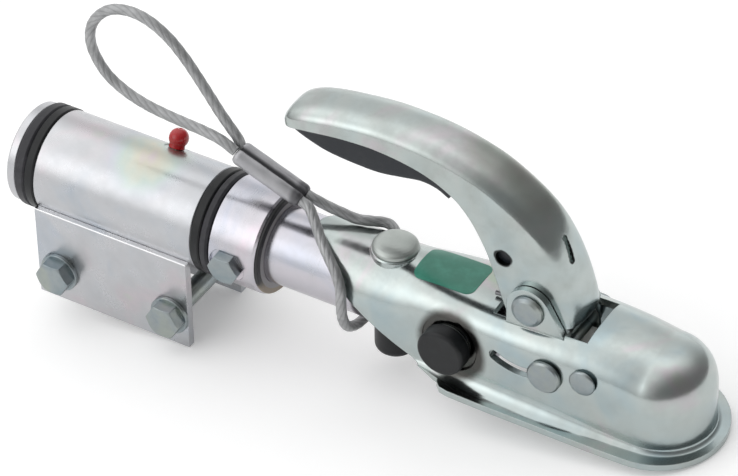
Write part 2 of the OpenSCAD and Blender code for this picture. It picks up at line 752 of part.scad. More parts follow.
// Half of a section's line, inset from the outside: its corner and its foot. The sides
// spread a little towards the lower edge.
side_spread = 0.002;
corner_n = 7;
function run_of(k) = norm([k[2] - k[0], k[3] - k[1]]);
function half_line(k, inset, n) =
    let (run = run_of(k), w = leg_out * k[4] - inset, top = min(inset, 0.6 * run),
         h = min(handle_corner - inset * 0.7, 0.85 * (run - top)))
    concat([for (q = crown(w, h, 2.7, n)) [q[0], h - q[1] + top]], [[w + side_spread * run, run]]);
function whole_line(half) = concat(
    [for (i = [len(half) - 1 : -1 : 1]) [-half[i][0], half[i][1]]], half
);
// Closed section of the channel: over the outside, then back along the inside. Where
// hollow is small, the inside lies close to the lower edge.
function channel_ring(k, hollow) =
    let (inner = whole_line(half_line(k, handle_sheet, corner_n)), run = run_of(k))
    concat(
        [for (q = whole_line(half_line(k, 0, corner_n))) section_point(k, q[0], q[1])],
        [for (i = [len(inner) - 1 : -1 : 0])
            section_point(k, inner[i][0], run - (run - inner[i][1]) * hollow)]
    );
leg_step = 0.06;
module leg_outline() {
    translate([pin_reach * sin(pin_lead), -pin_reach * cos(pin_lead)])
        circle(d = locking_pin_d + 7);
    translate([pin_reach * sin(pin_lead), -pin_reach * cos(pin_lead)])
        polygon([[-6, -6], [8.4, -0.8], [7.4, 12], [1.6, 21.5], [-6, 34], [-22, 33], [-31, 20]]);
}
module handle_shell() {
    color("silver") difference() {
        translate([pivot_at, 0, pivot_z]) union() {
            loft([for (u = handle_steps)
                channel_ring(smooth_key(handle_keys, u), u < 5 ? 0.2 : 1)], strips = true);
            both_sides() translate([0, leg_out - leg_step, 0]) rotate([90, 0, 0])
                linear_extrude(handle_sheet - 3 * leg_step) leg_outline();
        }
        across_y(pivot_at, pivot_z)
            cylinder(r = pivot_d / 2 + pin_clear, h = 100, center = true);
        across_y(pin_x, pin_z)
            cylinder(r = locking_pin_d / 2 + seat_clear, h = 100, center = true);
        across_y(pivot_at - 17.8, pivot_z + 25)
            cylinder(d = lock_hole_d, h = 100, center = true);
        translate([pivot_at + 13.4, -2, pivot_z + 34]) rotate([0, 61.7, 0]) rotate(-12)
            cube([15, 3.2, 12], center = true);
    }
}
module grip_insert() {
    foot = 4.5;
    color("#20242e") translate([pivot_at, 0, pivot_z]) loft([
        for (i = [0 : 20])
            let (u = 8 + i * 119 / 20, k = smooth_key(handle_keys, u),
                 deep = smooth_key(insert_keys, max(u, 9)),
                 half = half_line(k, handle_sheet + seat_clear, 5),
                 line = [for (j = [0 : 5]) half[j] + [0, i == 0 ? 0.4 : 0]], w = line[5][0])
            concat(
                [for (a = [90 : -30 : 0])
                    section_point(k, -w + foot - foot * cos(a), deep - foot + foot * sin(a))],
                [for (j = [5 : -1 : 1]) section_point(k, -line[j][0], line[j][1])],
                [for (q = line) section_point(k, q[0], q[1])],
                [for (a = [0 : 30 : 90])
                    section_point(k, w - foot + foot * cos(a), deep - foot + foot * sin(a))]
            )
    ]);
}
wall_out = side_half + side_clear;
module locking_pin() {
    color("silver") across_y(pin_x, pin_z) {
        cylinder(d = locking_pin_d, h = 2 * leg_out + 2, center = true);
        cylinder(d = slot_w - 2 * bolt_clear + 0.6, h = 2 * wall_out + 1, center = true);
        for (s = [0, 1]) mirror([0, 0, s]) translate([0, 0, wall_out]) rotate_extrude($fn = 64)
            polygon([
                [0, 0], [locking_head_d / 2 - 0.4, 0], [locking_head_d / 2, 0.4],
                [locking_head_d / 2, 1.8], [locking_head_d / 2 - 1, 2.8], [0, 2.8]
            ]);
    }
}

// Jaw behind the ball: a hub on its pin, a heel against the locking pin, and a claw whose
// face follows the ball.
claw_r = ball_d / 2 + 0.3;
module ball_jaw() {
    color("silver") difference() {
        union() {
            across_y(jaw_x, jaw_z) cylinder(r = 11, h = jaw_hub_width, center = true);
            translate([pin_x + locking_pin_d / 2 + 0.3, -jaw_hub_width / 2, pin_z - 4.5])
                cube([jaw_x - pin_x - locking_pin_d / 2, jaw_hub_width, 9]);
            intersection() {
                translate([ball_at, 0, ball_z]) sphere(r = claw_r + 8, $fn = 96);
                translate([jaw_x - 9, -jaw_width / 2, ball_z - 10])
                    cube([24, jaw_width, jaw_z - ball_z + 2]);
            }
            translate([jaw_x - 7, -jaw_hub_width / 2, ball_z + 4])
                cube([14, jaw_hub_width, jaw_z - ball_z - 4]);
        }
        translate([ball_at, 0, ball_z]) sphere(r = claw_r, $fn = 96);
        across_y(jaw_x, jaw_z)
            cylinder(r = jaw_pin_d / 2 + pin_clear, h = 100, center = true);
    }
}

// Round wire swept through the given points.
function unit(v) = v / norm(v);
function tangent(p, i) = unit(p[min(i + 1, len(p) - 1)] - p[max(i - 1, 0)]);
// Frames that are carried along the points without twisting.
function carried(p, i, u) =
    let (t = tangent(p, i)) unit(u - t * (u * t));
function frames(p, u, i = 0) =
    i >= len(p) ? [] : let (v = carried(p, i, u)) concat([v], frames(p, v, i + 1));
module wire(p, d, sides, start) {
    side_dirs = frames(p, start);
    points = [
        for (i = [0 : len(p) - 1]) for (j = [0 : sides - 1])
            let (t = tangent(p, i), u = side_dirs[i], w = cross(t, u), a = 360 * j / sides)
                p[i] + (u * cos(a) + w * sin(a)) * d / 2
    ];
    n = sides;
    m = len(p);
    walls = [
        for (i = [0 : m - 2]) for (j = [0 : n - 1])
            [i * n + j, (i + 1) * n + j, (i + 1) * n + (j + 1) % n, i * n + (j + 1) % n]
    ];
    polyhedron(points, concat(
        [[for (j = [0 : n - 1]) j]], walls, [[for (j = [n - 1 : -1 : 0]) (m - 1) * n + j]]
    ), convexity = 10);
}

// Torsion spring on the handle's pivot, with one arm behind the locking pin and the
// other on top of the body behind its opening.
spring_d = 2.6;
spring_r = pivot_d / 2 + spring_d / 2 + 0.35;
spring_turns = 4;
spring_half = spring_turns * (spring_d + 0.4) / 2;
function spring_point(a) = [
    spring_r * cos(a), -spring_half + 2 * spring_half * (a + 150) / (360 * spring_turns + 42),
    spring_r * sin(a)
];
spring_path = concat(
    [[-opening_behind - 5, -spring_half - 0.5, -9.4], [-14, -spring_half - 0.3, -8.2]],
    [for (a = [-130 : 20 : 360 * spring_turns - 108]) spring_point(a)],
    [[6.5, spring_half + 0.4, -13], [9.2, spring_half + 0.5, -22],
     [10.4, spring_half + 0.5, -29]]
);
module lock_spring() {
    color("dimgray") translate([pivot_at, 0, pivot_z])
        wire(spring_path, spring_d, 8, [0, 1, 0]);
}

// Wire rope: a pull loop and a neck loop, held together by a pressed ferrule.
ferrule_from = [70, -3, 110.5];
ferrule_fall = 21;
ferrule_dir = [cos(ferrule_fall), 0, -sin(ferrule_fall)];
ferrule_to = ferrule_from + ferrule_dir * ferrule_len;
strand_y = rope_d / 2 + 0.1;
pull_points = [
    [67.5, 0.4, 116], [62.3, 0.4, 122.4], [56.2, 0.3, 130.2], [50, 0.2, 139], [43, 0, 149],
    [35, -0.5, 160], [26, -1, 169.5], [14.3, -1.5, 176.8], [2.5, -2, 179.2], [-8.8, -3, 177.2],
    [-17.4, -3.5, 170.6], [-22.6, -4, 162], [-23.8, -4.4, 152], [-20.4, -4.8, 142.2],
    [-12.7, -5.4, 133], [-1, -6, 126.6], [12, -6.3, 122.8], [25, -6.3, 120.8],
    [38, -6.3, 119.7], [50, -6.3, 118.8], [60.5, -6.3, 117]
];
neck_points = [
    [117, -7.2, 92.8], [123, -11, 87.5], [130.4, -16.5, 81.3], [138, -21.5, 76],
    [145, -25.8, 71], [149.4, -28.9, 64], [150.4, -30.2, 56], [150.4, -29.4, 47],
    [149.9, -26, 38.5], [149, -19.5, 31], [148.3, -10, 25.5], [148, 0, 23.8], [148.3, 10, 25.5],
    [149, 20, 31], [149.9, 27, 40], [150.4, 30, 51], [150.4, 29, 62.5], [149.9, 24.5, 71.6],
    [148.8, 18, 78], [144.8, 12, 81.5], [138, 8, 83], [130, 5.2, 86.2], [122, 2.8, 89.5],
    [116, 1, 92.6]
];
pull_route = concat(
    [[ferrule_from[0], ferrule_from[1] + strand_y, ferrule_from[2] + 0.2]], pull_points,
    [[ferrule_from[0], ferrule_from[1] - strand_y, ferrule_from[2] + 2]]
);
neck_route = concat(
    [[ferrule_to[0], ferrule_to[1] - strand_y, ferrule_to[2]]], neck_points,
    [[ferrule_to[0], ferrule_to[1] + strand_y, ferrule_to[2]]]
);
module ferrule() {
    h = rope_d / 2 + ferrule_wall;
    color("lightgray") translate(ferrule_from)
        rotate([0, 90 + ferrule_fall, 0]) linear_extrude(ferrule_len) {
            for (s = [-1, 1]) translate([0, s * strand_y]) circle(r = h, $fn = 48);
            square([2 * h, 2 * strand_y], center = true);
        }
}
module pull_loop() {
    color("dimgray") wire(pull_route, rope_d, 10, [0, 1, 0]);
}
module neck_loop() {
    color("dimgray") wire(neck_route, rope_d, 10, [0, 1, 0]);
}

housing_tube();
near_side_plate();
far_side_plate();
rear_bush();
front_bush();
rear_seal();
front_seal();
grease_nipple();
nipple_cap();
bracket_bolts();
bracket_washers();
bracket_nuts();
swivel_shaft();
end_disc();
collar();
collar_screw();
collar_ring();
coupler_body();
rear_bolt();
cross_bolt();
clamp_washers();
clamp_nuts();
nut_caps();
head_cap();
handle_pivot();
jaw_pin();
handle_shell();
grip_insert();
locking_pin();
ball_jaw();
lock_spring();
ferrule();
pull_loop();
neck_loop();
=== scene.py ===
import json
import math

import bpy
import numpy as np
from mathutils import Matrix, Vector


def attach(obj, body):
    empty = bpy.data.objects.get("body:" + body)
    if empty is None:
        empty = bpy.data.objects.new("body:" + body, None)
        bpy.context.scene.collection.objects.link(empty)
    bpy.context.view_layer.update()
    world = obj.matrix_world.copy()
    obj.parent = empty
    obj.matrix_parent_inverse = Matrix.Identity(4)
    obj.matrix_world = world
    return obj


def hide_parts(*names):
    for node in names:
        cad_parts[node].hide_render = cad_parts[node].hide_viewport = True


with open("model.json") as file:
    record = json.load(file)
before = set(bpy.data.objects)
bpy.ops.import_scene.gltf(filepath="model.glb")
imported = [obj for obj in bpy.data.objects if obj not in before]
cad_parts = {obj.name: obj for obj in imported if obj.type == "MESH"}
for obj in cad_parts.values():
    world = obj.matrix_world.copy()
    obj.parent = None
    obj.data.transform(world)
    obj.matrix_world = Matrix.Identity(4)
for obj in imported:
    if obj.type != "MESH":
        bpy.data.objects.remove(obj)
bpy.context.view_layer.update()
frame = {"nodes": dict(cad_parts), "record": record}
nodes = frame["nodes"]
mm = 0.001
print("solids loaded:", len(nodes))

# Camera

cameraView = {
    "azimuth": 31.2086, "elevation": 39.3873, "roll": -0.7112,
    "place": (947.495, -1315.81, 1343.362), "lens": 179.159, "sensor": 36.0,
}


def makeCamera(view):
    # The lens looks along minus "back"; right and up lie across it and turn by the roll.
    azimuth, elevation, roll = (math.radians(view[k]) for k in ("azimuth", "elevation", "roll"))
    flat = math.cos(elevation)
    back = Vector((math.sin(azimuth) * flat, -math.cos(azimuth) * flat, math.sin(elevation)))
    right = Vector((math.cos(azimuth), math.sin(azimuth), 0))
    up = back.cross(right)
    across = right * math.cos(roll) + up * math.sin(roll)
    upright = up * math.cos(roll) - right * math.sin(roll)
    lens = bpy.data.cameras.new("camera")
    lens.lens, lens.sensor_width, lens.clip_end = view["lens"], view["sensor"], 50
    holder = bpy.data.objects.new("camera", lens)
    turn = Matrix((across, upright, back)).transposed().to_4x4()
    holder.matrix_world = Matrix.Translation(Vector(view["place"]) * mm) @ turn
    bpy.context.scene.collection.objects.link(holder)
    bpy.context.scene.camera = holder


makeCamera(cameraView)
bpy.context.scene.view_settings.view_transform = "Standard"


# Meshes


def gridFaces(rows, columns, closed=False):
    # Squares between neighbours of a grid whose rows follow each other in memory.
    down, side = np.meshgrid(np.arange(rows - 1), np.arange(columns - (not closed)), indexing="ij")
    ahead = (side + 1) % columns
    corners = (down * columns + side, down * columns + ahead,
               (down + 1) * columns + ahead, (down + 1) * columns + side)
    return np.stack(corners, axis=-1).reshape(-1, 4)


def meshOf(name, points, faces, ends=()):
    # Points in millimetres become vertices in metres. Equal points are joined, squares with
    # a doubled corner become triangles, and ends are further faces as rows of numbers.
    points = np.asarray(points, float).reshape(-1, 3) * mm
    same, first, number = np.unique(np.round(points, 8) + 0.0, axis=0, return_index=True,
                                    return_inverse=True)
    number = number.reshape(-1)
    corners = number[np.asarray(faces)]
    doubled = corners == np.roll(corners, 1, axis=1)
    left = 4 - doubled.sum(axis=1)
    squares = corners[left == 4]
    triangles = corners[left == 3][~doubled[left == 3]].reshape(-1, 3)
    closing = [number[np.asarray(end)].tolist() for end in ends]
    mesh = bpy.data.meshes.new(name)
    mesh.from_pydata(points[first].tolist(), [], squares.tolist() + triangles.tolist() + closing)
    mesh.validate()
    return mesh


def plainMesh(name, points, faces, ends=(), layer=None, corners=None):
    # The same without joining; layer is a UV map with a value for each corner of each face.
    mesh = bpy.data.meshes.new(name)
    points = np.asarray(points, float).reshape(-1, 3) * mm
    mesh.from_pydata(points.tolist(), [], np.asarray(faces).tolist() + [list(e) for e in ends])
    if layer:
        values = np.zeros((len(mesh.loops), 2))
        values[:len(corners)] = corners
        mesh.uv_layers.new(name=layer).data.foreach_set("uv", values.ravel())
    return mesh


def pieceOf(name, mesh):
    piece = bpy.data.objects.new(name, mesh)
    bpy.context.scene.collection.objects.link(piece)
    return piece


def dress(piece, finish, body, replaced=(), sharp=32):
    # Edges sharper than the angle stay crisp and the rest is shaded round.
    mesh = piece.data
    mesh.polygons.foreach_set("use_smooth", np.ones(len(mesh.polygons), bool))
    mesh.set_sharp_from_angle(angle=math.radians(sharp))
    mesh.materials.clear()
    mesh.materials.append(finish)
    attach(piece, body)
    if replaced:
        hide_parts(*replaced)
    return piece


def combine(piece, operation, others):
    # The piece with other closed pieces cut away or joined on, as one plain mesh.
    for other in others:
        step = piece.modifiers.new("step", "BOOLEAN")
        step.operation, step.object, step.solver = operation, other, "MANIFOLD"
    bpy.context.view_layer.update()
    made = bpy.data.meshes.new_from_object(
        piece.evaluated_get(bpy.context.evaluated_depsgraph_get()))
    old = piece.data
    piece.modifiers.clear()
    piece.data = made
    bpy.data.meshes.remove(old)
    for other in others:
        shape = other.data
        bpy.data.objects.remove(other)
        bpy.data.meshes.remove(shape)
    return piece


def turned(name, profile, place, axis, sides=96, start=(1, 0, 0)):
    # Profile of (radius, height) turned about an axis through the place.
    profile, axis = np.asarray(profile, float), np.asarray(axis, float)
    axis = axis / np.linalg.norm(axis)
    across = np.cross(axis, start if abs(axis @ np.asarray(start, float)) < 0.9 else (0, 1, 0))
    across = across / np.linalg.norm(across)
    other = np.cross(axis, across)
    angle = np.linspace(0, 2 * np.pi, sides, endpoint=False)
    spokes = np.cos(angle)[:, None] * across + np.sin(angle)[:, None] * other
    points = (np.asarray(place, float) + profile[:, None, 0, None] * spokes[None]
              + profile[:, None, 1, None] * axis)
    mesh = meshOf(name, points, gridFaces(len(profile), sides, closed=True))
    flipOutwards(mesh)
    return pieceOf(name, mesh)


def rod(radius, place, axis, low, high, sides=96):
    # Closed cylinder along the axis from low to high. Its seam stands askew, so that no edge
    # of it lies in a plane of the pieces it cuts.
    return turned("cutter", [(0, low), (radius, low), (radius, high), (0, high)], place, axis,
                  sides, (0.83, 0.31, 0.46))


def slab(outline, low, high, lift):
    # Flat outline of (a, b) points pushed from low to high; lift places (a, b, height).
    outline = np.asarray(outline, float)
    count = len(outline)
    levels = [np.column_stack([outline, np.full(count, level)]) for level in (low, high)]
    points = lift(np.vstack(levels))
    sides = gridFaces(2, count, closed=True)
    mesh = bpy.data.meshes.new("cutter")
    faces = sides.tolist() + [list(range(count))[::-1], list(range(count, 2 * count))]
    mesh.from_pydata((points * mm).tolist(), [], faces)
    piece = pieceOf("cutter", mesh)
    flipOutwards(mesh)
    return piece


def flipOutwards(mesh):
    # Six times the enclosed volume is the sum of each triangle's triple product; where it
    # is negative, the faces are turned over.
    mesh.calc_loop_triangles()
    spots = np.empty(len(mesh.vertices) * 3)
    mesh.vertices.foreach_get("co", spots)
    corners = np.empty(len(mesh.loop_triangles) * 3, int)
    mesh.loop_triangles.foreach_get("vertices", corners)
    a, b, c = (spots.reshape(-1, 3)[corners.reshape(-1, 3)[:, i]] for i in range(3))
    if np.einsum("ij,ij->i", a, np.cross(b, c)).sum() < 0:
        mesh.flip_normals()


def standing(points):
    # (x, z) outlines pushed across: height becomes Y.
    return points[:, [0, 2, 1]]


def lying(points):
    # (x, y) outlines pushed upwards.
    return points


def throughKeys(places, values, at):
    # Cubic between keys, with slopes from the neighbours.
    places, values, at = (np.asarray(v, float) for v in (places, values, at))
    count = len(places)
    before = np.maximum(np.arange(count) - 1, 0)
    after = np.minimum(np.arange(count) + 1, count - 1)
    slopes = (values[after] - values[before]) / (places[after] - places[before])[:, None]
    i = np.clip(np.searchsorted(places, at, side="right") - 1, 0, count - 2)
    step = (places[i + 1] - places[i])[:, None]
    t = ((at - places[i])[:, None]) / step
    return (values[i] * (1 + 2 * t) * (1 - t) ** 2 + slopes[i] * step * t * (1 - t) ** 2
            + values[i + 1] * t * t * (3 - 2 * t) + slopes[i + 1] * step * t * t * (t - 1))


def crownLine(width, height, roundness, steps):
    # Quarter superellipse from the crown (0, height) to the side (width, 0).
    angle = np.linspace(0, np.pi / 2, steps + 1)
    power = (2 / roundness)[:, None]
    across = width[:, None] * np.sin(angle)[None] ** power
    rise = height[:, None] * np.abs(np.cos(angle))[None] ** power
    return across, rise


def unit(rows):
    return rows / np.linalg.norm(rows, axis=-1, keepdims=True)


def smoothPath(points, step):
    # Cubic through the points, by the distance along their chords.
    points = np.asarray(points, float)
    along = np.concatenate([[0], np.cumsum(np.linalg.norm(np.diff(points, axis=0), axis=1))])
    return throughKeys(along, points, np.linspace(0, along[-1], int(along[-1] / step) + 2))


def lengthOf(path):
    return float(np.linalg.norm(np.diff(path, axis=0), axis=1).sum())


def framesAlong(path, across):
    # Tangent, and two directions square to it; the first leans towards "across".
    tangent = unit(np.gradient(path, axis=0))
    side = unit(across - (across * tangent).sum(axis=1, keepdims=True) * tangent)
    return tangent, side, np.cross(tangent, side)


# Finishes


class Value:
    # A socket on its way through a material; sums on it add Math nodes.
    def __init__(self, recipe, socket):
        self.recipe, self.socket = recipe, socket

    def math(self, operation, first, second=None):
        inputs = {0: first} if second is None else {0: first, 1: second}
        return self.recipe.add("ShaderNodeMath", {"operation": operation}, inputs)

    def __add__(self, other):
        return self.math("ADD", self, other)

    def __radd__(self, other):
        return self.math("ADD", other, self)

    def __sub__(self, other):
        return self.math("SUBTRACT", self, other)

    def __rsub__(self, other):
        return self.math("SUBTRACT", other, self)

    def __mul__(self, other):
        return self.math("MULTIPLY", self, other)

    def __rmul__(self, other):
        return self.math("MULTIPLY", other, self)

    def __truediv__(self, other):
        return self.math("DIVIDE", self, other)

    def __pow__(self, other):
        return self.math("POWER", self, other)

    def sine(self):
        return self.math("SINE", self)

    def size(self):
        return self.math("ABSOLUTE", self)

    def exponent(self):
        return self.math("EXPONENT", self)

    def coordinate(self, letter):
        return self.recipe.add("ShaderNodeSeparateXYZ", {}, {0: self}, letter)

    def measure(self, operation, other):
        # Distance to a point, or product with a direction.
        return self.recipe.add("ShaderNodeVectorMath", {"operation": operation},
                               {0: self, 1: other}, "Value")

    def between(self, low, high):
        # Rises smoothly from 0 at low to 1 at high.
        return self.recipe.add("ShaderNodeMapRange", {"interpolation_type": "SMOOTHSTEP"},
                               {0: self, 1: low, 2: high})


class Recipe:
    # One material, or a world: its nodes and the one way that they are added.
    def __init__(self, name, world=None):
        self.material = world or bpy.data.materials.new(name)
        self.material.use_nodes = True
        self.tree = self.material.node_tree
        self.tree.nodes.clear()

    def add(self, kind, settings, inputs, out=0):
        node = self.tree.nodes.new(kind)
        for key, value in settings.items():
            if key == "stops":
                self.setStops(node.color_ramp, value)
            else:
                setattr(node, key, value)
        for key, value in inputs.items():
            if isinstance(value, Value):
                self.tree.links.new(value.socket, node.inputs[key])
            else:
                node.inputs[key].default_value = value
        return Value(self, node.outputs[out]) if len(node.outputs) else None

    def setStops(self, ramp, stops):
        while len(ramp.elements) < len(stops):
            ramp.elements.new(0.5)
        for element, (place, colour) in zip(ramp.elements, stops):
            element.position, element.color = place, (*colour, 1)

    def place(self, scale=(1, 1, 1), turn=(0, 0, 0)):
        # Object coordinates in metres, turned and stretched.
        spot = self.add("ShaderNodeTexCoord", {}, {}, "Object")
        return self.add("ShaderNodeMapping", {}, {"Vector": spot, "Rotation": turn,
                                                  "Scale": scale})

    def noise(self, spot, scale, detail=2, rough=0.5, warp=0):
        return self.add("ShaderNodeTexNoise", {}, {"Vector": spot, "Scale": scale, "Detail": detail,
                                                   "Roughness": rough, "Distortion": warp})

    def ramp(self, value, stops):
        return self.add("ShaderNodeValToRGB", {"stops": stops}, {0: value})

    def blend(self, share, one, other, how="MIX"):
        # Colour between two colours; the share runs from the first to the second.
        one, other = (c if isinstance(c, Value) else (*c, 1) for c in (one, other))
        return self.add("ShaderNodeMix", {"data_type": "RGBA", "blend_type": how},
                        {0: share, 6: one, 7: other}, 2)

    def bump(self, height, distance, strength=1.0, below=None):
        inputs = {"Height": height, "Distance": distance, "Strength": strength}
        if below:
            inputs["Normal"] = below
        return self.add("ShaderNodeBump", {}, inputs)

    def edges(self, radius):
        # Normals that run round an edge within the radius.
        return self.add("ShaderNodeBevel", {"samples": 6}, {"Radius": radius * mm})

    def finish(self, **sockets):
        shader = self.add("ShaderNodeBsdfPrincipled", {},
                          {k.replace("_", " "): v for k, v in sockets.items()})
        self.add("ShaderNodeOutputMaterial", {}, {"Surface": shader})
        return self.material


def spottedAndShaded(r, spot, colour, spotsAndShade, unrest):
    # Round spots of another colour, some of them painted shade in recesses and holes: each is full up to
    # its inner radius, gone at the outer.
    for at, inner, outer, tone, amount in spotsAndShade:
        away = spot.measure("DISTANCE", tuple(c * mm for c in at)) + (unrest - 0.5) * (4 * mm)
        share = (1 - away.between(inner * mm, outer * mm)) * amount
        colour = r.blend(share, colour, tone)
    return colour


def zinc(name, look):
    # Bright plating: clouds of faint passivation tints, a mottled gloss, fine scratches.
    r = Recipe(name)
    spot = r.place()
    cloud = r.noise(spot, look["cloud"], 3, 0.55, 0.6)
    tint = r.ramp(cloud, look["tints"])
    shade = r.noise(spot, look["cloud"] * 3.1, 4, 0.6)
    colour = r.blend(shade.between(0.35, 0.75) * look["mottle"], tint, look["dull"])
    if "film" in look:
        at, reach, amount = look["film"]
        away = spot.measure("DISTANCE", tuple(c * mm for c in at)) / (reach * mm)
        film = r.ramp(away * 0.6 + (cloud - 0.5) * 1.6 + 0.2, look["filmTints"])
        colour = r.blend((1 - away.between(0.45, 1.0)) * amount, colour, film)
    # Round spots over the colour: painted shade in recesses and holes, and darker patches.
    colour = spottedAndShaded(r, spot, colour, look.get("spotsAndShade", ()), shade)
    # Painted highlight: above the given heights the colour turns near white, along the plate's top edge.
    if "ledgeHighlight" in look:
        low, high, tone = look["ledgeHighlight"]
        colour = r.blend((spot.coordinate("Z") / mm).between(low, high), colour, tone)
    grain = r.noise(r.place(look["grain"]), 900, 2, 0.5)
    rough = look["rough"] + (shade - 0.5) * look["roughSpread"] + (grain - 0.5) * look["grainGloss"]
    wave = r.noise(spot, look["wave"], 2, 0.45)
    skin = r.noise(spot, 700, 3, 0.6)
    normal = r.bump(wave, look["waveDepth"] * mm, 1, r.edges(look["edge"]))
    normal = r.bump(skin, look["skinDepth"] * mm, 1, normal)
    normal = r.bump(grain, look["grainDepth"] * mm, 1, normal)
    return r.finish(Base_Color=colour, Metallic=1.0, Roughness=rough, Normal=normal)


silverTints = [
    (0.30, (0.42, 0.455, 0.50)), (0.43, (0.49, 0.50, 0.52)), (0.55, (0.50, 0.50, 0.515)),
    (0.63, (0.53, 0.49, 0.515)), (0.72, (0.47, 0.51, 0.465)),
]
pressedTints = [
    (0.30, (0.36, 0.44, 0.46)), (0.43, (0.42, 0.475, 0.47)), (0.55, (0.44, 0.48, 0.465)),
    (0.63, (0.47, 0.45, 0.465)), (0.72, (0.40, 0.465, 0.39)),
]
darkTints = [
    (0.35, (0.25, 0.30, 0.32)), (0.5, (0.31, 0.345, 0.355)), (0.65, (0.34, 0.37, 0.345)),
]
filmTints = [
    (0.15, (0.62, 0.42, 0.52)), (0.35, (0.60, 0.56, 0.36)), (0.55, (0.40, 0.56, 0.46)),
    (0.75, (0.44, 0.50, 0.64)), (0.95, (0.56, 0.46, 0.60)),
]
plainSteel = {
    "cloud": 22, "tints": silverTints, "dull": (0.42, 0.43, 0.44), "mottle": 0.35,
    "grain": (1, 1, 1), "rough": 0.30, "roughSpread": 0.22, "grainGloss": 0.08, "wave": 45,
    "waveDepth": 0.25, "skinDepth": 0.010, "grainDepth": 0.005, "edge": 0.5,
}
# Painted shade: the pocket round the cross bolt's cap is darkened to near black, past its edge.
pocketShade = ((218, -26, 53), 18.5, 24, (0.05, 0.046, 0.042), 0.93)
# Painted shade: near-black spots along the slot in the handle.
slotShade = [((273.5 + 0.464 * t, -2 - 0.208 * t, 125 - 0.861 * t), 1.9, 2.5, (0.02,) * 3, 0.95)
             for t in (-6, -3.6, -1.2, 1.2, 3.6, 6)]
# Two broad darker patches on the handle's crown.
crownDarkening = [((226, 7, 161), 8, 27, (0.20, 0.215, 0.18), 0.55),
              ((248, 4, 149), 8, 24, (0.20, 0.21, 0.18), 0.5)]
# Painted shade: near black round the padlock hole in the handle's near side.
lockHoleShade = ((242.3, -15.8, 116), 5.0, 6.0, (0.02, 0.02, 0.02), 0.95)
finishes = {
    "zinc_steel": zinc("zincSteel", plainSteel),
    "zinc_pressing": zinc("zincPressing", dict(plainSteel, tints=pressedTints, rough=0.2,
                                               dull=(0.33, 0.36, 0.355), wave=60, waveDepth=0.25,
                                               spotsAndShade=[pocketShade])),
    "zinc_fastener": zinc("zincFastener", dict(plainSteel, cloud=60, tints=darkTints,
                                               dull=(0.25, 0.28, 0.29), rough=0.34, wave=160,
                                               waveDepth=0.08, edge=0.6)),
    "shaft_steel": zinc("shaftSteel", dict(plainSteel, rough=0.24, grain=(1, 0.05, 0.05),
                                           tints=[(a, (c[0] * 1.08, c[1] * 1.03, c[2] * 1.07))
                                                  for a, c in silverTints],
                                           wave=30, waveDepth=0.1)),
}
special = {
    "housing_tube": zinc("tubeZinc", dict(plainSteel, film=((11, -4, 84), 30, 0.42),
                                          filmTints=filmTints)),
    "handlePressing": zinc("handleZinc", dict(plainSteel, tints=pressedTints, rough=0.2,
                                              dull=(0.31, 0.335, 0.32), mottle=0.5, wave=60,
                                              waveDepth=0.25, spotsAndShade=slotShade + crownDarkening + [lockHoleShade])),
    "near_side_plate": zinc("plateZinc", dict(plainSteel, dull=(0.40, 0.41, 0.425),
                                              ledgeHighlight=(38.9, 39.7, (0.97, 0.97, 0.98)))),
    "rear_bolt": zinc("boltHead", dict(plainSteel, rough=0.46, dull=(0.34, 0.37, 0.35),
                                       tints=[(0.3, (0.40, 0.43, 0.41)), (0.6, (0.46, 0.49, 0.47))],
                                       wave=160, waveDepth=0.08)),
}


def pressedAlloy(name, look):
    # Dull pressed alloy, with painted shade in the valley between the two ropes, and darker towards its
    # lower end.
    r = Recipe(name)
    spot = r.place()
    patch = r.noise(spot, 80, 4, 0.6)
    off = (spot.coordinate("Y") / mm - look["middle"]).size() + (patch - 0.5) * 1.0
    tone = r.blend(patch.between(0.3, 0.7) * 0.6, look["colour"], look["wornAndSheen"])
    # Painted shade in the valley along the middle.
    tone = r.blend(1 - off.between(look["dark"][0], look["dark"][1]), tone, look["deep"])
    along = spot.coordinate("X") / mm
    tone = r.blend(along.between(look["end"][0], look["end"][1]) * 0.8, tone, look["deep"])
    skin = r.noise(spot, 600, 3, 0.6)
    return r.finish(Base_Color=tone, Metallic=0.9, Roughness=0.46 + (patch - 0.5) * 0.25,
                    Normal=r.bump(skin, 0.03 * mm, 1, r.edges(0.4)))


finishes["ferrule_alloy"] = pressedAlloy("ferruleAlloy", {
    "middle": -3.0, "dark": (0.9, 2.3), "deep": (0.07, 0.07, 0.075), "end": (104.5, 108.5),
    "colour": (0.38, 0.38, 0.395), "wornAndSheen": (0.50, 0.50, 0.515)})


def moulded(name, colour, shine, rough, depth, coat=0.0):
    # Moulded plastic or rubber: fine texture in the skin, faint dust and rubbed spots.
    r = Recipe(name)
    spot = r.place()
    dust = r.noise(spot, 130, 4, 0.6)
    skin = r.noise(spot, 1100, 2, 0.5)
    tone = r.blend(dust.between(0.42, 0.8) * 0.5, colour, shine)
    normal = r.bump(skin, depth * mm, 1, r.edges(0.5))
    return r.finish(Base_Color=tone, Roughness=rough + (dust - 0.5) * 0.25, Normal=normal,
                    Specular_IOR_Level=0.35, Coat_Weight=coat, Coat_Roughness=0.15)


finishes["black_plastic"] = moulded("blackPlastic", (0.006, 0.007, 0.008), (0.025, 0.027, 0.03),
                                    0.42, 0.02)
finishes["black_rubber"] = moulded("blackRubber", (0.032, 0.032, 0.037), (0.09, 0.09, 0.10),
                                   0.5, 0.03)
finishes["grip_plastic"] = moulded("gripPlastic", (0.008, 0.011, 0.016), (0.03, 0.032, 0.034),
                                   0.36, 0.02)
finishes["red_plastic"] = moulded("redPlastic", (0.42, 0.012, 0.016), (0.6, 0.05, 0.05),
                                  0.25, 0.01, 0.4)


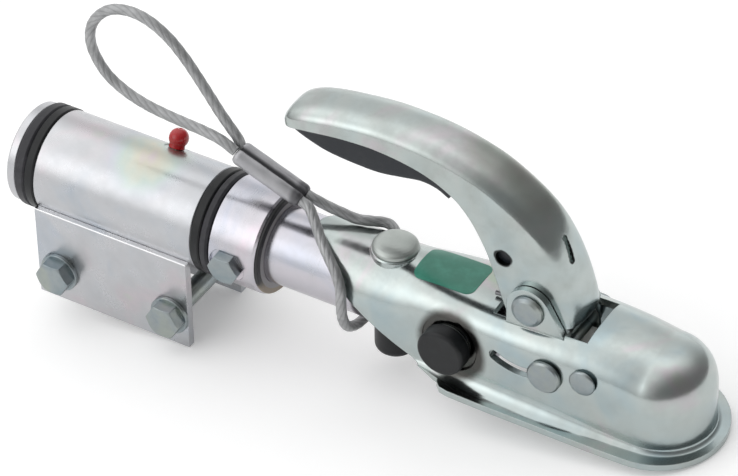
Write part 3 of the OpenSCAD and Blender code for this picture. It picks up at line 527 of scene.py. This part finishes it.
def ringRubber(name, look):
    # The ring before the collar: black above, and lower down a painted tan highlight and rubbed bare
    # metal.
    r = Recipe(name)
    spot = r.place()
    patch = r.noise(spot, 120, 3, 0.6)
    height = spot.coordinate("Z") / mm + (patch - 0.5) * 8
    # Painted highlight: below the given heights the black turns tan.
    tone = r.blend(height.between(look["low"], look["high"]), look["wornAndSheen"], look["black"])
    away = spot.measure("DISTANCE", tuple(c * mm for c in look["middle"])) / mm
    tone = r.blend(1 - away.between(look["inner"], look["inner"] + 0.8), tone, look["bare"])
    return r.finish(Base_Color=tone, Roughness=0.5 + (patch - 0.5) * 0.2,
                    Normal=r.bump(patch, 0.05 * mm, 1, r.edges(0.4)))


special["collar_ring"] = ringRubber("ringRubber", {
    "low": 36, "high": 46, "middle": (95.7, 0, 54), "inner": 25.6, "bare": (0.30, 0.29, 0.30),
    "wornAndSheen": (0.30, 0.25, 0.19), "black": (0.016, 0.016, 0.018)})


def dark(name, colour, wornAndSheen, metallic, rough):
    # Dark metal: rubbed patches show brighter, and a fine cast or drawn skin.
    r = Recipe(name)
    spot = r.place()
    patch = r.noise(spot, 90, 4, 0.6)
    skin = r.noise(spot, 800, 3, 0.6)
    tone = r.blend(patch.between(0.45, 0.7), colour, wornAndSheen)
    return r.finish(Base_Color=tone, Metallic=metallic, Roughness=rough + (patch - 0.5) * 0.3,
                    Normal=r.bump(skin, 0.04 * mm, 1, r.edges(0.4)))


finishes["jaw_iron"] = dark("jawIron", (0.6, 0.6, 0.58), (0.75, 0.75, 0.72), 0.4, 0.5)
finishes["spring_steel"] = dark("springSteel", (0.2, 0.2, 0.21), (0.42, 0.42, 0.43), 1.0, 0.35)
finishes["nipple_brass"] = dark("nippleBrass", (0.42, 0.39, 0.33), (0.5, 0.47, 0.4), 1.0, 0.35)


def stranded(name, look):
    # Wire rope: U counts the strands round the rope and V runs along it in millimetres. The
    # hollow between two strands is where the cosine of a whole turn of U is highest.
    r = Recipe(name)
    lay = r.add("ShaderNodeUVMap", {"uv_map": "lay"}, {})
    u, v = lay.coordinate("X"), lay.coordinate("Y")
    hollow = ((u * math.tau + math.pi / 2).sine() * 0.5 + 0.5) ** 4
    wires = ((u * look["wires"] + v / look["pitch"]) * math.tau).sine() * 0.5 + 0.5
    patch = r.noise(r.place(), 140, 3, 0.6)
    tone = r.blend(patch.between(0.3, 0.75), look["colour"], look["wornAndSheen"])
    # Painted shade: the hollows between strands are darkened towards the deep colour.
    tone = r.blend(hollow * look["depth"], tone, look["deep"])
    height = wires - hollow * 1.5
    return r.finish(Base_Color=tone, Metallic=0.55, Roughness=0.45 + (patch - 0.5) * 0.2,
                    Normal=r.bump(height, look["relief"] * mm))


finishes["wire_rope"] = stranded("wireRope", {
    "wires": 3, "pitch": 3.4, "colour": (0.33, 0.335, 0.34), "wornAndSheen": (0.46, 0.465, 0.47),
    "deep": (0.16, 0.162, 0.165), "depth": 0.4, "relief": 0.05})

def printed(name, look):
    # Sticker: an even colour under a thin clear film, with faint creases and rubbed places.
    r = Recipe(name)
    spot = r.place()
    patch = r.noise(spot, 110, 3, 0.6)
    crease = r.noise(spot, 55, 2, 0.5, 1.2)
    tone = r.blend(patch.between(0.4, 0.75) * 0.8, look["colour"], look["rubbed"])
    return r.finish(Base_Color=tone, Roughness=look["rough"] + (patch - 0.5) * 0.2,
                    Normal=r.bump(crease, 0.12 * mm), Coat_Weight=0.35, Coat_Roughness=0.25)


finishes["label"] = printed("label", {"colour": (0.012, 0.19, 0.125), "rubbed": (0.04, 0.27, 0.19),
                                      "rough": 0.45})

slots = {s["node"]: s["material_slot"] for s in frame["record"]["subparts"]}
for name, node in nodes.items():
    node.data.materials.clear()
    node.data.materials.append(special.get(name) or finishes[slots[name]])
print("finishes made:", len(finishes))

# Wire rope. Both loops leave the pressed ferrule side by side; the pull loop stands up behind
# it and the neck loop goes round the shaft. The routes are those of the solids.

ropes = {
    "diameter": 6.0, "lay": 40.0, "sides": 48, "step": 1.1, "groove": 0.26, "strand": 1.16,
    "pull": ((70, 0.1, 110.7), (67.5, 0.4, 116), (62.3, 0.4, 122.4), (56.2, 0.3, 130.2),
             (50, 0.2, 139), (43, 0, 149), (35, -0.5, 160), (26, -1, 169.5),
             (14.3, -1.5, 176.8), (2.5, -2, 179.2), (-8.8, -3, 177.2), (-17.4, -3.5, 170.6),
             (-22.6, -4, 162), (-23.8, -4.4, 152), (-20.4, -4.8, 142.2), (-12.7, -5.4, 133),
             (-1, -6, 126.6), (12, -6.3, 122.8), (25, -6.3, 120.8), (38, -6.3, 119.7),
             (50, -6.3, 118.8), (60.5, -6.3, 117), (70, -6.1, 112.5)),
    "neck": ((111.08, -6.1, 94.73), (117, -7.2, 92.8), (123, -11, 87.5), (130.4, -16.5, 81.3),
             (138, -21.5, 76), (145, -25.8, 71), (149.4, -28.9, 64), (150.4, -30.2, 56),
             (150.4, -29.4, 47), (149.9, -26, 38.5), (149, -19.5, 31), (148.3, -10, 25.5),
             (148, 0, 23.8), (148.3, 10, 25.5), (149, 20, 31), (149.9, 27, 40),
             (150.4, 30, 51), (150.4, 29, 62.5), (149.9, 24.5, 71.6), (148.8, 18, 78),
             (144.8, 12, 81.5), (138, 8, 83), (130, 5.2, 86.2), (122, 2.8, 89.5),
             (116, 1, 92.6), (111.08, 0.1, 94.73)),
}


def ropeMesh(name, path, across, look):
    # Six round strands laid round a core. At angle a and distance s, d is the angle to the
    # middle of the nearest strand, and the section reaches c cos d + sqrt(b^2 - c^2 sin^2 d),
    # where b is a strand's radius and c its middle's distance; "groove" fills it up in part.
    tangent, side, other = framesAlong(path, across)
    run = np.concatenate([[0], np.cumsum(np.linalg.norm(np.diff(path, axis=0), axis=1))])
    angle = np.linspace(0, 2 * np.pi, look["sides"] + 1)
    strand = 6 * (angle[None] / (2 * np.pi) - run[:, None] / look["lay"])
    away = (strand - np.floor(strand) - 0.5) * np.pi / 3
    full = look["diameter"] / 2
    middle = full - look["strand"]
    reach = middle * np.cos(away) + np.sqrt(look["strand"] ** 2 - (middle * np.sin(away)) ** 2)
    radius = (full - look["groove"] * (full - reach))[:, :-1, None]
    spokes = (np.cos(angle[:-1])[None, :, None] * side[:, None]
              + np.sin(angle[:-1])[None, :, None] * other[:, None])
    points = path[:, None] + radius * spokes
    rows, columns = len(path), look["sides"]
    faces = gridFaces(rows, columns, closed=True)
    u, v = strand, np.broadcast_to(run[:, None], strand.shape)
    spots = np.stack([u, v], axis=-1)
    corners = np.stack([spots[:-1, :-1], spots[:-1, 1:], spots[1:, 1:], spots[1:, :-1]], axis=2)
    ends = (range(columns)[::-1], range((rows - 1) * columns, rows * columns))
    mesh = plainMesh(name, points.reshape(-1, 3), faces, ends, "lay", corners.reshape(-1, 2))
    flipOutwards(mesh)
    return mesh


pullPath = smoothPath(ropes["pull"], ropes["step"])
pullRope = pieceOf("pullRope", ropeMesh("pullRope", pullPath, np.array([[0, 1, 0]]), ropes))
dress(pullRope, finishes["wire_rope"], "housing", ["pull_loop"])
neckPath = smoothPath(ropes["neck"], ropes["step"])
outward = neckPath * (0, 1, 1) - (0, 0, 54)
neckRope = pieceOf("neckRope", ropeMesh("neckRope", neckPath, outward, ropes))
dress(neckRope, finishes["wire_rope"], "housing", ["neck_loop"])

# Ferrule: a sleeve pressed flat between its two ropes, with a valley along both sides.

sleeve = {"from": (70, -3, 110.5), "fall": 21.0, "length": 44.0, "apart": 3.1, "round": 4.8,
          "valley": 3.1, "ends": 3.2, "steps": 90, "sides": 128}


def sleeveMesh(look):
    # Across the sleeve at y, half the height is that of a round lobe outside the ropes'
    # middles and dips between them by a raised cosine; both ends draw in on a quarter circle.
    fall = math.radians(look["fall"])
    ahead = np.array([math.cos(fall), 0, -math.sin(fall)])
    aside = np.array([0.0, 1, 0])
    above = np.cross(ahead, aside)
    angle = np.linspace(0, 2 * np.pi, look["sides"], endpoint=False)
    half = look["apart"] + look["round"]
    y = half * np.cos(angle)
    beyond = np.clip(np.abs(y) - look["apart"], 0, None) / look["round"]
    dip = look["valley"] * (1 + np.cos(np.pi * np.clip(np.abs(y) / look["apart"], 0, 1))) / 2
    z = np.sign(np.sin(angle)) * (look["round"] * np.sqrt(np.clip(1 - beyond ** 2, 0, 1)) - dip)
    s = np.linspace(0, 1, look["steps"])
    s = look["length"] * (s - np.sin(2 * np.pi * s) * 0.11)
    near = np.clip(np.minimum(s, look["length"] - s) / look["ends"], 0, 1)
    draw = 0.62 + 0.38 * np.sqrt(1 - (1 - near) ** 2)
    press = 1 - 0.035 * (1 - np.cos(2 * np.pi * s / look["length"] * 3)) * 0.5
    flat = np.outer(draw * press, z)
    wide = np.outer(1 - (1 - draw) * 0.6, y)
    middle = np.asarray(look["from"], float) + s[:, None] * ahead
    points = middle[:, None] + wide[..., None] * aside + flat[..., None] * above
    rows, columns = len(s), len(angle)
    ends = (range(columns)[::-1], range((rows - 1) * columns, rows * columns))
    mesh = plainMesh("sleeve", points.reshape(-1, 3), gridFaces(rows, columns, closed=True), ends)
    flipOutwards(mesh)
    return mesh


pressedSleeve = pieceOf("pressedSleeve", sleeveMesh(sleeve))
dress(pressedSleeve, finishes["ferrule_alloy"], "housing", ["ferrule"], 50)
tuple(pullPath[0] * mm)
(pullPath * mm).tolist()
tuple(neckPath[0] * mm)
(neckPath * mm).tolist()
print("ropes:", round(lengthOf(pullPath)), "and", round(lengthOf(neckPath)), "mm")

# Coupler body: a pressed shell. Its section runs from the rear end to the ball's middle, and
# from there the last section turns about the ball's upright axis.

body = {
    "rear": 118.1, "axis": 54.0, "sheet": 4.0, "ball": 211.5, "ballRadius": 25.25,
    "ballHeight": 40.0, "noseWall": 5.6, "rimHigh": 32.0, "rimLow": 28.0, "shaft": 22.6,
    "shaftEnd": 232.1, "crossBolt": 216.1, "rearBolt": 167.1, "pocket": 16.59,
    "places": (0, 60, 80, 100, 128, 158, 176, 194, 211.5),
    "keys": ((26.5, 26.5, 2, 1), (26.5, 26.5, 2, 1.5), (27, 26, 2.7, 3), (28, 25.6, 3.4, 7),
             (30, 25.8, 3.6, 8.5), (31, 28, 3.3, 8.5), (31, 29.2, 3, 7), (30.7, 28.8, 2.8, 5),
             (30, 27, 2.6, 3.5)),
    "crown": 30, "flare": 8, "nose": 48, "along": 104,
}


def shoePiece(look, stations, keys, low, inner):
    # Half sections: a superellipse |y/w|^p + |z/h|^p = 1 from the crown to the side, then,
    # outside, a quarter circle out to the rim, and the foot. Rows follow the stations, and
    # then the last half section turned by t stands at x + y sin t, y cos t.
    width, height, power, spread = keys.T
    across, rise = crownLine(width, height, power, look["crown"])
    if not inner:
        turn = np.linspace(0, np.pi / 2, look["flare"] + 1)[None]
        floor = look["rimHigh"] - look["axis"] - 0.04
        across = np.hstack([across, width[:, None] + spread[:, None] * (1 - np.cos(turn))])
        rise = np.hstack([rise, floor + spread[:, None] * (1 - np.sin(turn))])
    across = np.hstack([across, across[:, -1:]])
    rise = np.hstack([rise, np.full((len(rise), 1), float(low))])
    bend = np.linspace(0, np.pi / 2, look["nose"] + 1)[1:]
    turned = np.concatenate([np.zeros(len(across)), bend])
    middle = np.concatenate([stations, np.full(len(bend), stations[-1])])
    across = np.vstack([across, np.repeat(across[-1:], len(bend), axis=0)])
    rise = np.vstack([rise, np.repeat(rise[-1:], len(bend), axis=0)])
    y = np.hstack([-across[:, :0:-1], across]) * np.cos(turned)[:, None]
    x = middle[:, None] + np.hstack([across[:, :0:-1], across]) * np.sin(turned)[:, None]
    z = np.hstack([rise[:, :0:-1], rise])
    points = np.stack([x + look["rear"], y, z + look["axis"]], axis=-1)
    rows, columns = x.shape
    mesh = meshOf("shoe", points, gridFaces(rows, columns, closed=True), [range(columns)[::-1]])
    flipOutwards(mesh)
    return pieceOf("shoe", mesh)


def outerShoe(look):
    stations = np.linspace(0, look["ball"], look["along"])
    return shoePiece(look, stations, throughKeys(look["places"], look["keys"], stations),
                     1 - 26, False)


def innerShoe(look):
    stations = np.concatenate([[-1], np.linspace(0, look["ball"], look["along"])])
    keys = throughKeys(look["places"], look["keys"], np.clip(stations, 0, None))
    share = np.clip(stations, 0, None) / look["ball"]
    wall = look["sheet"] + (look["noseWall"] - look["sheet"]) * share ** 8
    width = keys[:, 0] - wall
    width = np.where(stations < 120, np.maximum(width, look["shaft"] - 0.5), width)
    inside = np.column_stack([width, keys[:, 1] - look["sheet"], keys[:, 2], keys[:, 3]])
    return shoePiece(look, stations, inside, -27, True)


def arc(middle, radius, start, end, steps):
    # Points on a circle from one angle to another, in degrees.
    angle = np.radians(np.linspace(start, end, steps))
    return np.column_stack([middle[0] + radius * np.cos(angle),
                            middle[1] + radius * np.sin(angle)])


def bothSides(make):
    return [make(-1), make(1)]


pivot, pinPlace, jawPlace = (260.1, 91.0), (276.297, 60.538), (298.6, 65.5)


def rimPlate(look):
    nose = (look["rear"] + look["ball"] - 2.5, 0)
    side = np.array([(211.1, -30), (213, -35.4), (216.5, -38.9), (222, -40), (247.1, -40.5),
                     (307.1, -40.5), (318, -40.3)])
    outline = np.vstack([side, arc(nose, 40, -90, 90, 97), side[::-1] * (1, -1)])
    return slab(outline, look["rimLow"], look["rimHigh"], lying)


def bowedSlot(middle, radius, width, start, end):
    # Slot along a circle, with round ends.
    half = width / 2
    first, last = arc(middle, radius, start, end, 2)
    return np.vstack([arc(middle, radius + half, start, end, 24),
                      arc(last, half, end, end + 180, 17)[1:-1],
                      arc(middle, radius - half, end, start, 24),
                      arc(first, half, start + 180, start + 360, 17)[1:-1]])


def rearSweep(look):
    # Cubic curve by four points, for the side view of the body's rear edge.
    t = np.linspace(0, 1, 49)[:, None]
    corners = np.array([(0, 27), (26, 20), (34, -14), (98, -26.5)], float)
    curve = (corners[0] * (1 - t) ** 3 + corners[1] * 3 * t * (1 - t) ** 2
             + corners[2] * 3 * t * t * (1 - t) + corners[3] * t ** 3)
    outline = np.vstack([[(-10, 30), (0, 30)], curve, [(98, -40), (-10, -40)]])
    return outline + (look["rear"], look["axis"])


def earOutline(look):
    x, z = pivot
    tip = arc(pivot, 13, 31, 180, 48)
    return np.vstack([[(x - 13, 69), (x + 21, 69), (x + 21, 81)], tip])


def makeBody(look):
    sideways, upwards = (0, 1, 0), (0, 0, 1)
    axis, cross = look["axis"], (look["crossBolt"], 0, look["axis"])
    shell = combine(outerShoe(look), "UNION", [rimPlate(look)])
    ball = (look["rear"] + look["ball"], 0, look["ballHeight"])
    bowl = np.linspace(0, 90, 33)
    socket = [(look["ballRadius"] * math.sin(math.radians(a)),
               look["ballRadius"] * math.cos(math.radians(a))) for a in bowl]
    hollow = combine(innerShoe(look), "UNION",
                     [turned("cutter", socket + [(look["ballRadius"], -13), (0, -13)], ball,
                             upwards)])
    cups = bothSides(lambda s: rod(look["pocket"] + look["sheet"], cross, (0, s, 0),
                                   look["shaft"] - 1, 40))
    hollow = combine(hollow, "DIFFERENCE", cups)
    opening = slab([(237.9, -18.2), (294.1, -18.2), (294.1, 18.2), (237.9, 18.2)], 64, 94, lying)
    shell = combine(shell, "DIFFERENCE", [hollow, opening])
    ears = bothSides(lambda s: slab(earOutline(look), min(17.2 * s, 21.2 * s),
                                    max(17.2 * s, 21.2 * s), standing))
    pad = turned("pad", [(0, 74.5), (13.9, 74.5), (13.9, 79.6), (13.3, 80.4), (12.6, 80.6),
                         (0, 80.6)], (look["rearBolt"], 0, 0), upwards)
    shell = combine(shell, "UNION", ears + [pad])
    seat = look["shaft"] + look["sheet"]
    pocket = [(0, seat), (look["pocket"], seat), (look["pocket"], 27.4),
              (look["pocket"] + 3, 33), (look["pocket"] + 3, 40), (0, 40)]
    cutters = [
        slab(rearSweep(look), -60, 60, standing),
        rod(look["shaft"], (0, 0, axis), (1, 0, 0), look["rear"] - 1, look["shaftEnd"] + 1, 128),
        rod(6.5, cross, sideways, -50, 50, 48),
        rod(6.5, (look["rearBolt"], 0, axis), upwards, 0, 60, 48),
        rod(5.08, (pivot[0], 0, pivot[1]), sideways, -50, 50, 48),
        rod(4.08, (jawPlace[0], 0, jawPlace[1]), sideways, -50, 50, 48),
        slab(bowedSlot(pivot, 34.5, 6.4, -116, -62), -50, 50, standing),
    ]
    cutters += bothSides(lambda s: turned("cutter", pocket, cross, (0, s, 0), 128,
                                          (0.83, 0.31, 0.46)))
    shell = combine(shell, "DIFFERENCE", cutters)
    shell.name = "pressedBody"
    return shell


pressedBody = makeBody(body)
dress(pressedBody, finishes["zinc_pressing"], "coupler", ["coupler_body"], 30)
print("body made:", len(pressedBody.data.polygons), "faces")

# Red cap over the grease nipple: a ball with a shallow dimple, resting on the tube.

redCap = {"radius": 5.75, "middle": (16.5, 17.35, 85.3), "axis": (0, 0.4848, 0.8746),
          "dimple": 1.0, "wide": 2.2, "skirt": 4.6, "foot": -5.9}


def makeRedCap(look):
    # A skirt, and from it the circle's arc to the top, lowered inside the dimple's radius w
    # by d (1 + cos(pi r / w)) / 2.
    angle = np.linspace(-math.acos(look["skirt"] / look["radius"]), np.pi / 2, 41)
    across = np.clip(look["radius"] * np.cos(angle), 0, None)
    height = look["radius"] * np.sin(angle)
    near = np.clip(across / look["wide"], 0, 1)
    height = height - np.where(angle > 0, look["dimple"] * (1 + np.cos(np.pi * near)) / 2, 0)
    across[-1] = 0
    profile = np.vstack([[(0, look["foot"]), (look["skirt"], look["foot"])],
                         np.column_stack([across, height])])
    return turned("redCap", profile, look["middle"], look["axis"], 64)


dress(makeRedCap(redCap), finishes["red_plastic"], "housing", ["nipple_cap"], 60)

# Jaw pin: a domed head on the near side, and an end flush with the body on the far side.

jawPin = {"shank": 3.98, "head": 7.5, "under": 31.35, "dome": 2.5, "far": 29.4}


def makeJawPin(look):
    angle = np.linspace(0, np.pi / 2, 13)
    dome = np.column_stack([look["head"] * np.cos(angle),
                            look["under"] + 0.8 + (look["dome"] - 0.8) * np.sin(angle)])
    profile = np.vstack([[(0, -look["far"]), (look["shank"], -look["far"]),
                          (look["shank"], look["under"]), (look["head"], look["under"])], dome])
    profile[-1, 0] = 0
    return turned("jawPin", profile, (jawPlace[0], 0, jawPlace[1]), (0, -1, 0), 64)


dress(makeJawPin(jawPin), finishes["zinc_fastener"], "coupler", ["jaw_pin"], 40)

# Label: a thin sticker on the crown behind the handle. It bears nothing.

label = {"from": 184.5, "to": 221.5, "half": 13.6, "corner": 5.0, "lift": 0.05, "thick": 0.15,
         "steps": 40}


def makeLabel(look, under):
    # A rounded rectangle stretched over a square grid, and let down onto the crown, whose
    # height at y is h (1 - |y/w|^p)^(1/p).
    half = np.array([(look["to"] - look["from"]) / 2, look["half"]])
    grid = np.linspace(-1, 1, look["steps"] + 1)
    a, b = np.meshgrid(grid, grid, indexing="ij")
    core = half - look["corner"]
    x, y = a * half[0], b * half[1]
    over = np.clip(np.abs(np.stack([x, y], -1)) - core, 0, None)
    reach = np.linalg.norm(over, axis=-1)
    square = over.max(axis=-1)
    pull = np.where(reach > 1e-9, square / np.maximum(reach, 1e-9), 1)
    x = np.sign(x) * (np.minimum(np.abs(x), core[0]) + over[..., 0] * pull)
    y = np.sign(y) * (np.minimum(np.abs(y), core[1]) + over[..., 1] * pull)
    x = x + (look["from"] + look["to"]) / 2
    keys = throughKeys(under["places"], under["keys"], x.ravel() - under["rear"])
    width, height, power = keys[:, 0], keys[:, 1], keys[:, 2]
    lay = height * (1 - (np.abs(y.ravel()) / width) ** power) ** (1 / power) + under["axis"]
    low = np.column_stack([x.ravel(), y.ravel(), lay + look["lift"]])
    high = low + (0, 0, look["thick"])
    count, size = len(low), look["steps"] + 1
    faces = gridFaces(size, size)
    ring = np.arange(count).reshape(size, size)
    rim = np.concatenate([ring[0, :], ring[1:, -1], ring[-1, -2::-1], ring[-2:0:-1, 0]])
    next_ = np.roll(rim, -1)
    skirt = np.stack([rim, next_, next_ + count, rim + count], axis=-1)
    mesh = plainMesh("label", np.vstack([low, high]),
                     np.vstack([faces, faces[:, ::-1] + count, skirt]))
    flipOutwards(mesh)
    return pieceOf("label", mesh)


dress(makeLabel(label, body), finishes["label"], "coupler")

# Handle: a pressed channel along a bent path, its two legs, and the insert in the grip.
# Each key holds, from the pivot, the middle of the outer face, the lower edge of the side,
# and the share of the width.

handle = {
    "half": 16.7, "sheet": 2.8, "corner": 10.0, "round": 2.7, "spread": 0.002,
    "steps": 120, "crown": 22, "wall": 3,
    "places": (0, 3.5, 9, 21, 45, 69, 100, 129, 149, 169, 184, 203, 224, 233),
    "keys": ((-155.6, 61.6, -155.6, 59.4, 0.5), (-154.8, 65.3, -154, 59.2, 0.72),
             (-151, 69.4, -150, 59.8, 0.9), (-140, 74, -138, 62.6, 1),
             (-116.5, 78.4, -116, 65.6, 1), (-93, 80.5, -93.5, 66.3, 1),
             (-62, 78.6, -67, 62, 1), (-34, 71.4, -48, 53, 1), (-16, 62.3, -38.5, 43.5, 1),
             (-0.3, 50.9, -31.8, 33, 1), (9.6, 39.5, -26.8, 23, 1), (18.5, 23, -21.7, 9, 1),
             (25.3, 3.4, -15, -10, 1), (26.8, -5.5, -9.5, -19, 1)),
    "insertPlaces": (9, 21, 35, 57, 69, 85, 100, 114, 127),
    "insertDepths": (14, 22.7, 28.3, 32.6, 33, 30.7, 28, 28.2, 31),
}


def sectionPoints(keys, y, depth):
    # y across, and depth from the outer face along the side, in the plane of the section.
    run = np.hypot(keys[:, 2] - keys[:, 0], keys[:, 3] - keys[:, 1])[:, None]
    share = depth / run
    x = pivot[0] + keys[:, 0, None] + (keys[:, 2] - keys[:, 0])[:, None] * share
    z = pivot[1] + keys[:, 1, None] + (keys[:, 3] - keys[:, 1])[:, None] * share
    return np.stack([x, y, z], axis=-1)


def halfLine(look, keys, inset, steps):
    # Quarter superellipse from the middle of the outer face to the side, and the foot.
    run = np.hypot(keys[:, 2] - keys[:, 0], keys[:, 3] - keys[:, 1])
    width = look["half"] * keys[:, 4] - inset
    top = np.minimum(inset, 0.6 * run)
    height = np.minimum(look["corner"] - 0.7 * inset, 0.85 * (run - top))
    across, rise = crownLine(width, height, np.full(len(keys), look["round"]), steps)
    return across, height[:, None] - rise + top[:, None], width, run


def channelMesh(look):
    u = np.concatenate([np.linspace(0, 1, 9) ** 2 * 3, np.linspace(3, 233, look["steps"])[1:]])
    keys = throughKeys(look["places"], look["keys"], u)
    lines = []
    for inset in (0, look["sheet"]):
        across, depth, width, run = halfLine(look, keys, inset, look["crown"])
        share = np.linspace(0, 1, look["wall"] + 1)[None, 1:]
        down = depth[:, -1:] + (run[:, None] - depth[:, -1:]) * share
        out = width[:, None] + look["spread"] * run[:, None] * share
        across, depth = np.hstack([across, out]), np.hstack([depth, down])
        lines.append((np.hstack([-across[:, :0:-1], across]),
                      np.hstack([depth[:, :0:-1], depth])))
    hollow = np.where(u < 5, 0.2, 1)[:, None]
    inner = run[:, None] - (run[:, None] - lines[1][1]) * hollow
    y = np.hstack([lines[0][0], lines[1][0][:, ::-1]])
    points = sectionPoints(keys, y, np.hstack([lines[0][1], inner[:, ::-1]]))
    rows, columns = y.shape
    strip = np.arange(columns // 2 - 1)
    closing = np.stack([strip, strip + 1, columns - 2 - strip, columns - 1 - strip], axis=-1)
    faces = np.vstack([gridFaces(rows, columns, closed=True), closing[:, ::-1],
                       closing + (rows - 1) * columns])
    mesh = meshOf("channel", points, faces)
    flipOutwards(mesh)
    return mesh


def makeHandle(look):
    channel = pieceOf("channel", channelMesh(look))
    corners = np.array([(8.4, -0.8), (7.4, 12), (1.6, 21.5), (-6, 34), (-22, 33), (-31, 20)])
    corners = corners + pinPlace
    foot = arc(pinPlace, 8.5, 225, 354, 40)
    outline = np.vstack([foot, corners])
    legs = bothSides(lambda s: slab(outline, min(s * 16.64, s * 14.02), max(s * 16.64, s * 14.02),
                                    standing))
    shell = combine(channel, "UNION", legs)
    sideways = (0, 1, 0)
    a, b = math.radians(61.7), math.radians(-12)
    box = np.array([(x, y, z) for x in (-7.5, 7.5) for y in (-1.6, 1.6) for z in (-6, 6)])
    box = np.column_stack([box[:, 0] * math.cos(b) - box[:, 1] * math.sin(b),
                           box[:, 0] * math.sin(b) + box[:, 1] * math.cos(b), box[:, 2]])
    box = np.column_stack([box[:, 0] * math.cos(a) + box[:, 2] * math.sin(a), box[:, 1],
                           -box[:, 0] * math.sin(a) + box[:, 2] * math.cos(a)])
    box = box + (pivot[0] + 13.4, -2, pivot[1] + 34)
    sides = [(0, 1, 3, 2), (4, 6, 7, 5), (0, 4, 5, 1), (2, 3, 7, 6), (0, 2, 6, 4), (1, 5, 7, 3)]
    slot = plainMesh("slot", box, sides)
    flipOutwards(slot)
    cutters = [rod(5.08, (pivot[0], 0, pivot[1]), sideways, -50, 50, 48),
               rod(5.1, (pinPlace[0], 0, pinPlace[1]), sideways, -50, 50, 48),
               rod(4.5, (pivot[0] - 17.8, 0, pivot[1] + 25), sideways, -50, 50, 48),
               pieceOf("slot", slot)]
    shell = combine(shell, "DIFFERENCE", cutters)
    shell.name = "handlePressing"
    return shell


def makeInsert(look):
    # Fills the channel down to its own depth, with rounded lower corners.
    u = np.linspace(8, 127, 90)
    keys = throughKeys(look["places"], look["keys"], u)
    deep = throughKeys(look["insertPlaces"], np.array(look["insertDepths"])[:, None],
                       np.maximum(u, 9))
    across, depth, width, run = halfLine(look, keys, look["sheet"] + 0.1, 16)
    angle = np.radians(np.linspace(0, 90, 9))[None]
    foot = 4.5
    out = width[:, None] - foot + foot * np.cos(angle)
    down = deep - foot + foot * np.sin(angle)
    y = np.hstack([-out[:, ::-1], -across[:, :0:-1], across, out])
    level = np.hstack([down[:, ::-1], depth[:, :0:-1], depth, down])
    rows, columns = y.shape
    mesh = meshOf("insert", sectionPoints(keys, y, level), gridFaces(rows, columns, closed=True),
                  [range(columns)[::-1], range((rows - 1) * columns, rows * columns)])
    flipOutwards(mesh)
    return pieceOf("gripInsert", mesh)


handlePressing = makeHandle(handle)
dress(handlePressing, special["handlePressing"], "handle", ["handle_shell"],
      30)
dress(makeInsert(handle), finishes["grip_plastic"], "handle", ["grip_insert"],
      40)

# Lugs of the insert inside both sides, behind the padlock hole.

lugs = {"place": (242.3, 0, 116), "radius": 6.4, "from": 12.6, "to": 13.85}


def makeLug(look, side):
    lug = rod(look["radius"], look["place"], (0, side, 0), look["from"], look["to"], 48)
    lug.name = "insertLug"
    return lug


for lug in (makeLug(lugs, -1), makeLug(lugs, 1)):
    dress(lug, finishes["grip_plastic"], "handle")
print("handle made:", len(handlePressing.data.polygons), "faces")

# Floor, backdrop and lamps. The hitch rests on its plates' front corners and on the nose.

floorLook = {"touch": ((49, -20.3), (367, 27.7)), "colour": 0.93, "glow": 0.2,
             "reach": 6000}


def makeFloor(look):
    # A plane through the two lines across that the hitch stands on.
    (x1, z1), (x2, z2) = look["touch"]
    slope = (z2 - z1) / (x2 - x1)
    xs = np.array([-1, 1, 1, -1]) * look["reach"]
    ys = np.array([-1, -1, 1, 1]) * look["reach"]
    points = np.column_stack([xs, ys, z1 + (xs - x1) * slope])
    floor = pieceOf("floor", meshOf("floor", points, [[0, 1, 2, 3]]))
    r = Recipe("paleFloor")
    spot = r.place()
    speck = r.noise(spot, 300, 3, 0.6)
    tone = r.blend(speck * 0.02, (look["colour"],) * 3, (0.9, 0.9, 0.9))
    seen = [r.add("ShaderNodeLightPath", {}, {}, ray)
            for ray in ("Is Camera Ray", "Is Glossy Ray", "Is Transmission Ray")]
    glow = r.blend(seen[0] + seen[1] + seen[2], (0, 0, 0), (1, 1, 1))
    floor.data.materials.append(r.finish(Base_Color=tone, Roughness=0.9, Specular_IOR_Level=0.0,
                                         Emission_Color=glow, Emission_Strength=look["glow"]))


makeFloor(floorLook)

# Light: a plain dim room with soft boxes in it. Each box is a direction (azimuth, elevation)
# and a level, which falls off as exp(tight (cos d - 1)) at the angle d from it.

studio = {
    "room": 0.24, "tight": 10,
    "boxes": ((-129, 27, 1.65), (101, 64, 1.1), (106, 8, 0.9), (166, 43, 0.8), (-121, 67, 0.6),
              (178, 23, 0.5), (138, 2, 0.45), (-116, 10, 0.45), (-174, 59, 0.35)),
}


def makeStudio(look):
    world = bpy.data.worlds.new("studio")
    bpy.context.scene.world = world
    r = Recipe("studio", world)
    way = r.add("ShaderNodeTexCoord", {}, {}, "Generated")
    level = look["room"]
    for azimuth, elevation, bright in look["boxes"]:
        azimuth, elevation = math.radians(azimuth), math.radians(elevation)
        middle = (math.cos(elevation) * math.cos(azimuth),
                  math.cos(elevation) * math.sin(azimuth), math.sin(elevation))
        near = way.measure("DOT_PRODUCT", middle)
        level = level + ((near - 1) * look["tight"]).exponent() * bright
    sky = r.add("ShaderNodeBackground", {}, {"Color": (1, 1, 1, 1), "Strength": level})
    r.add("ShaderNodeOutputWorld", {}, {"Surface": sky})


makeStudio(studio)
print("studio made")
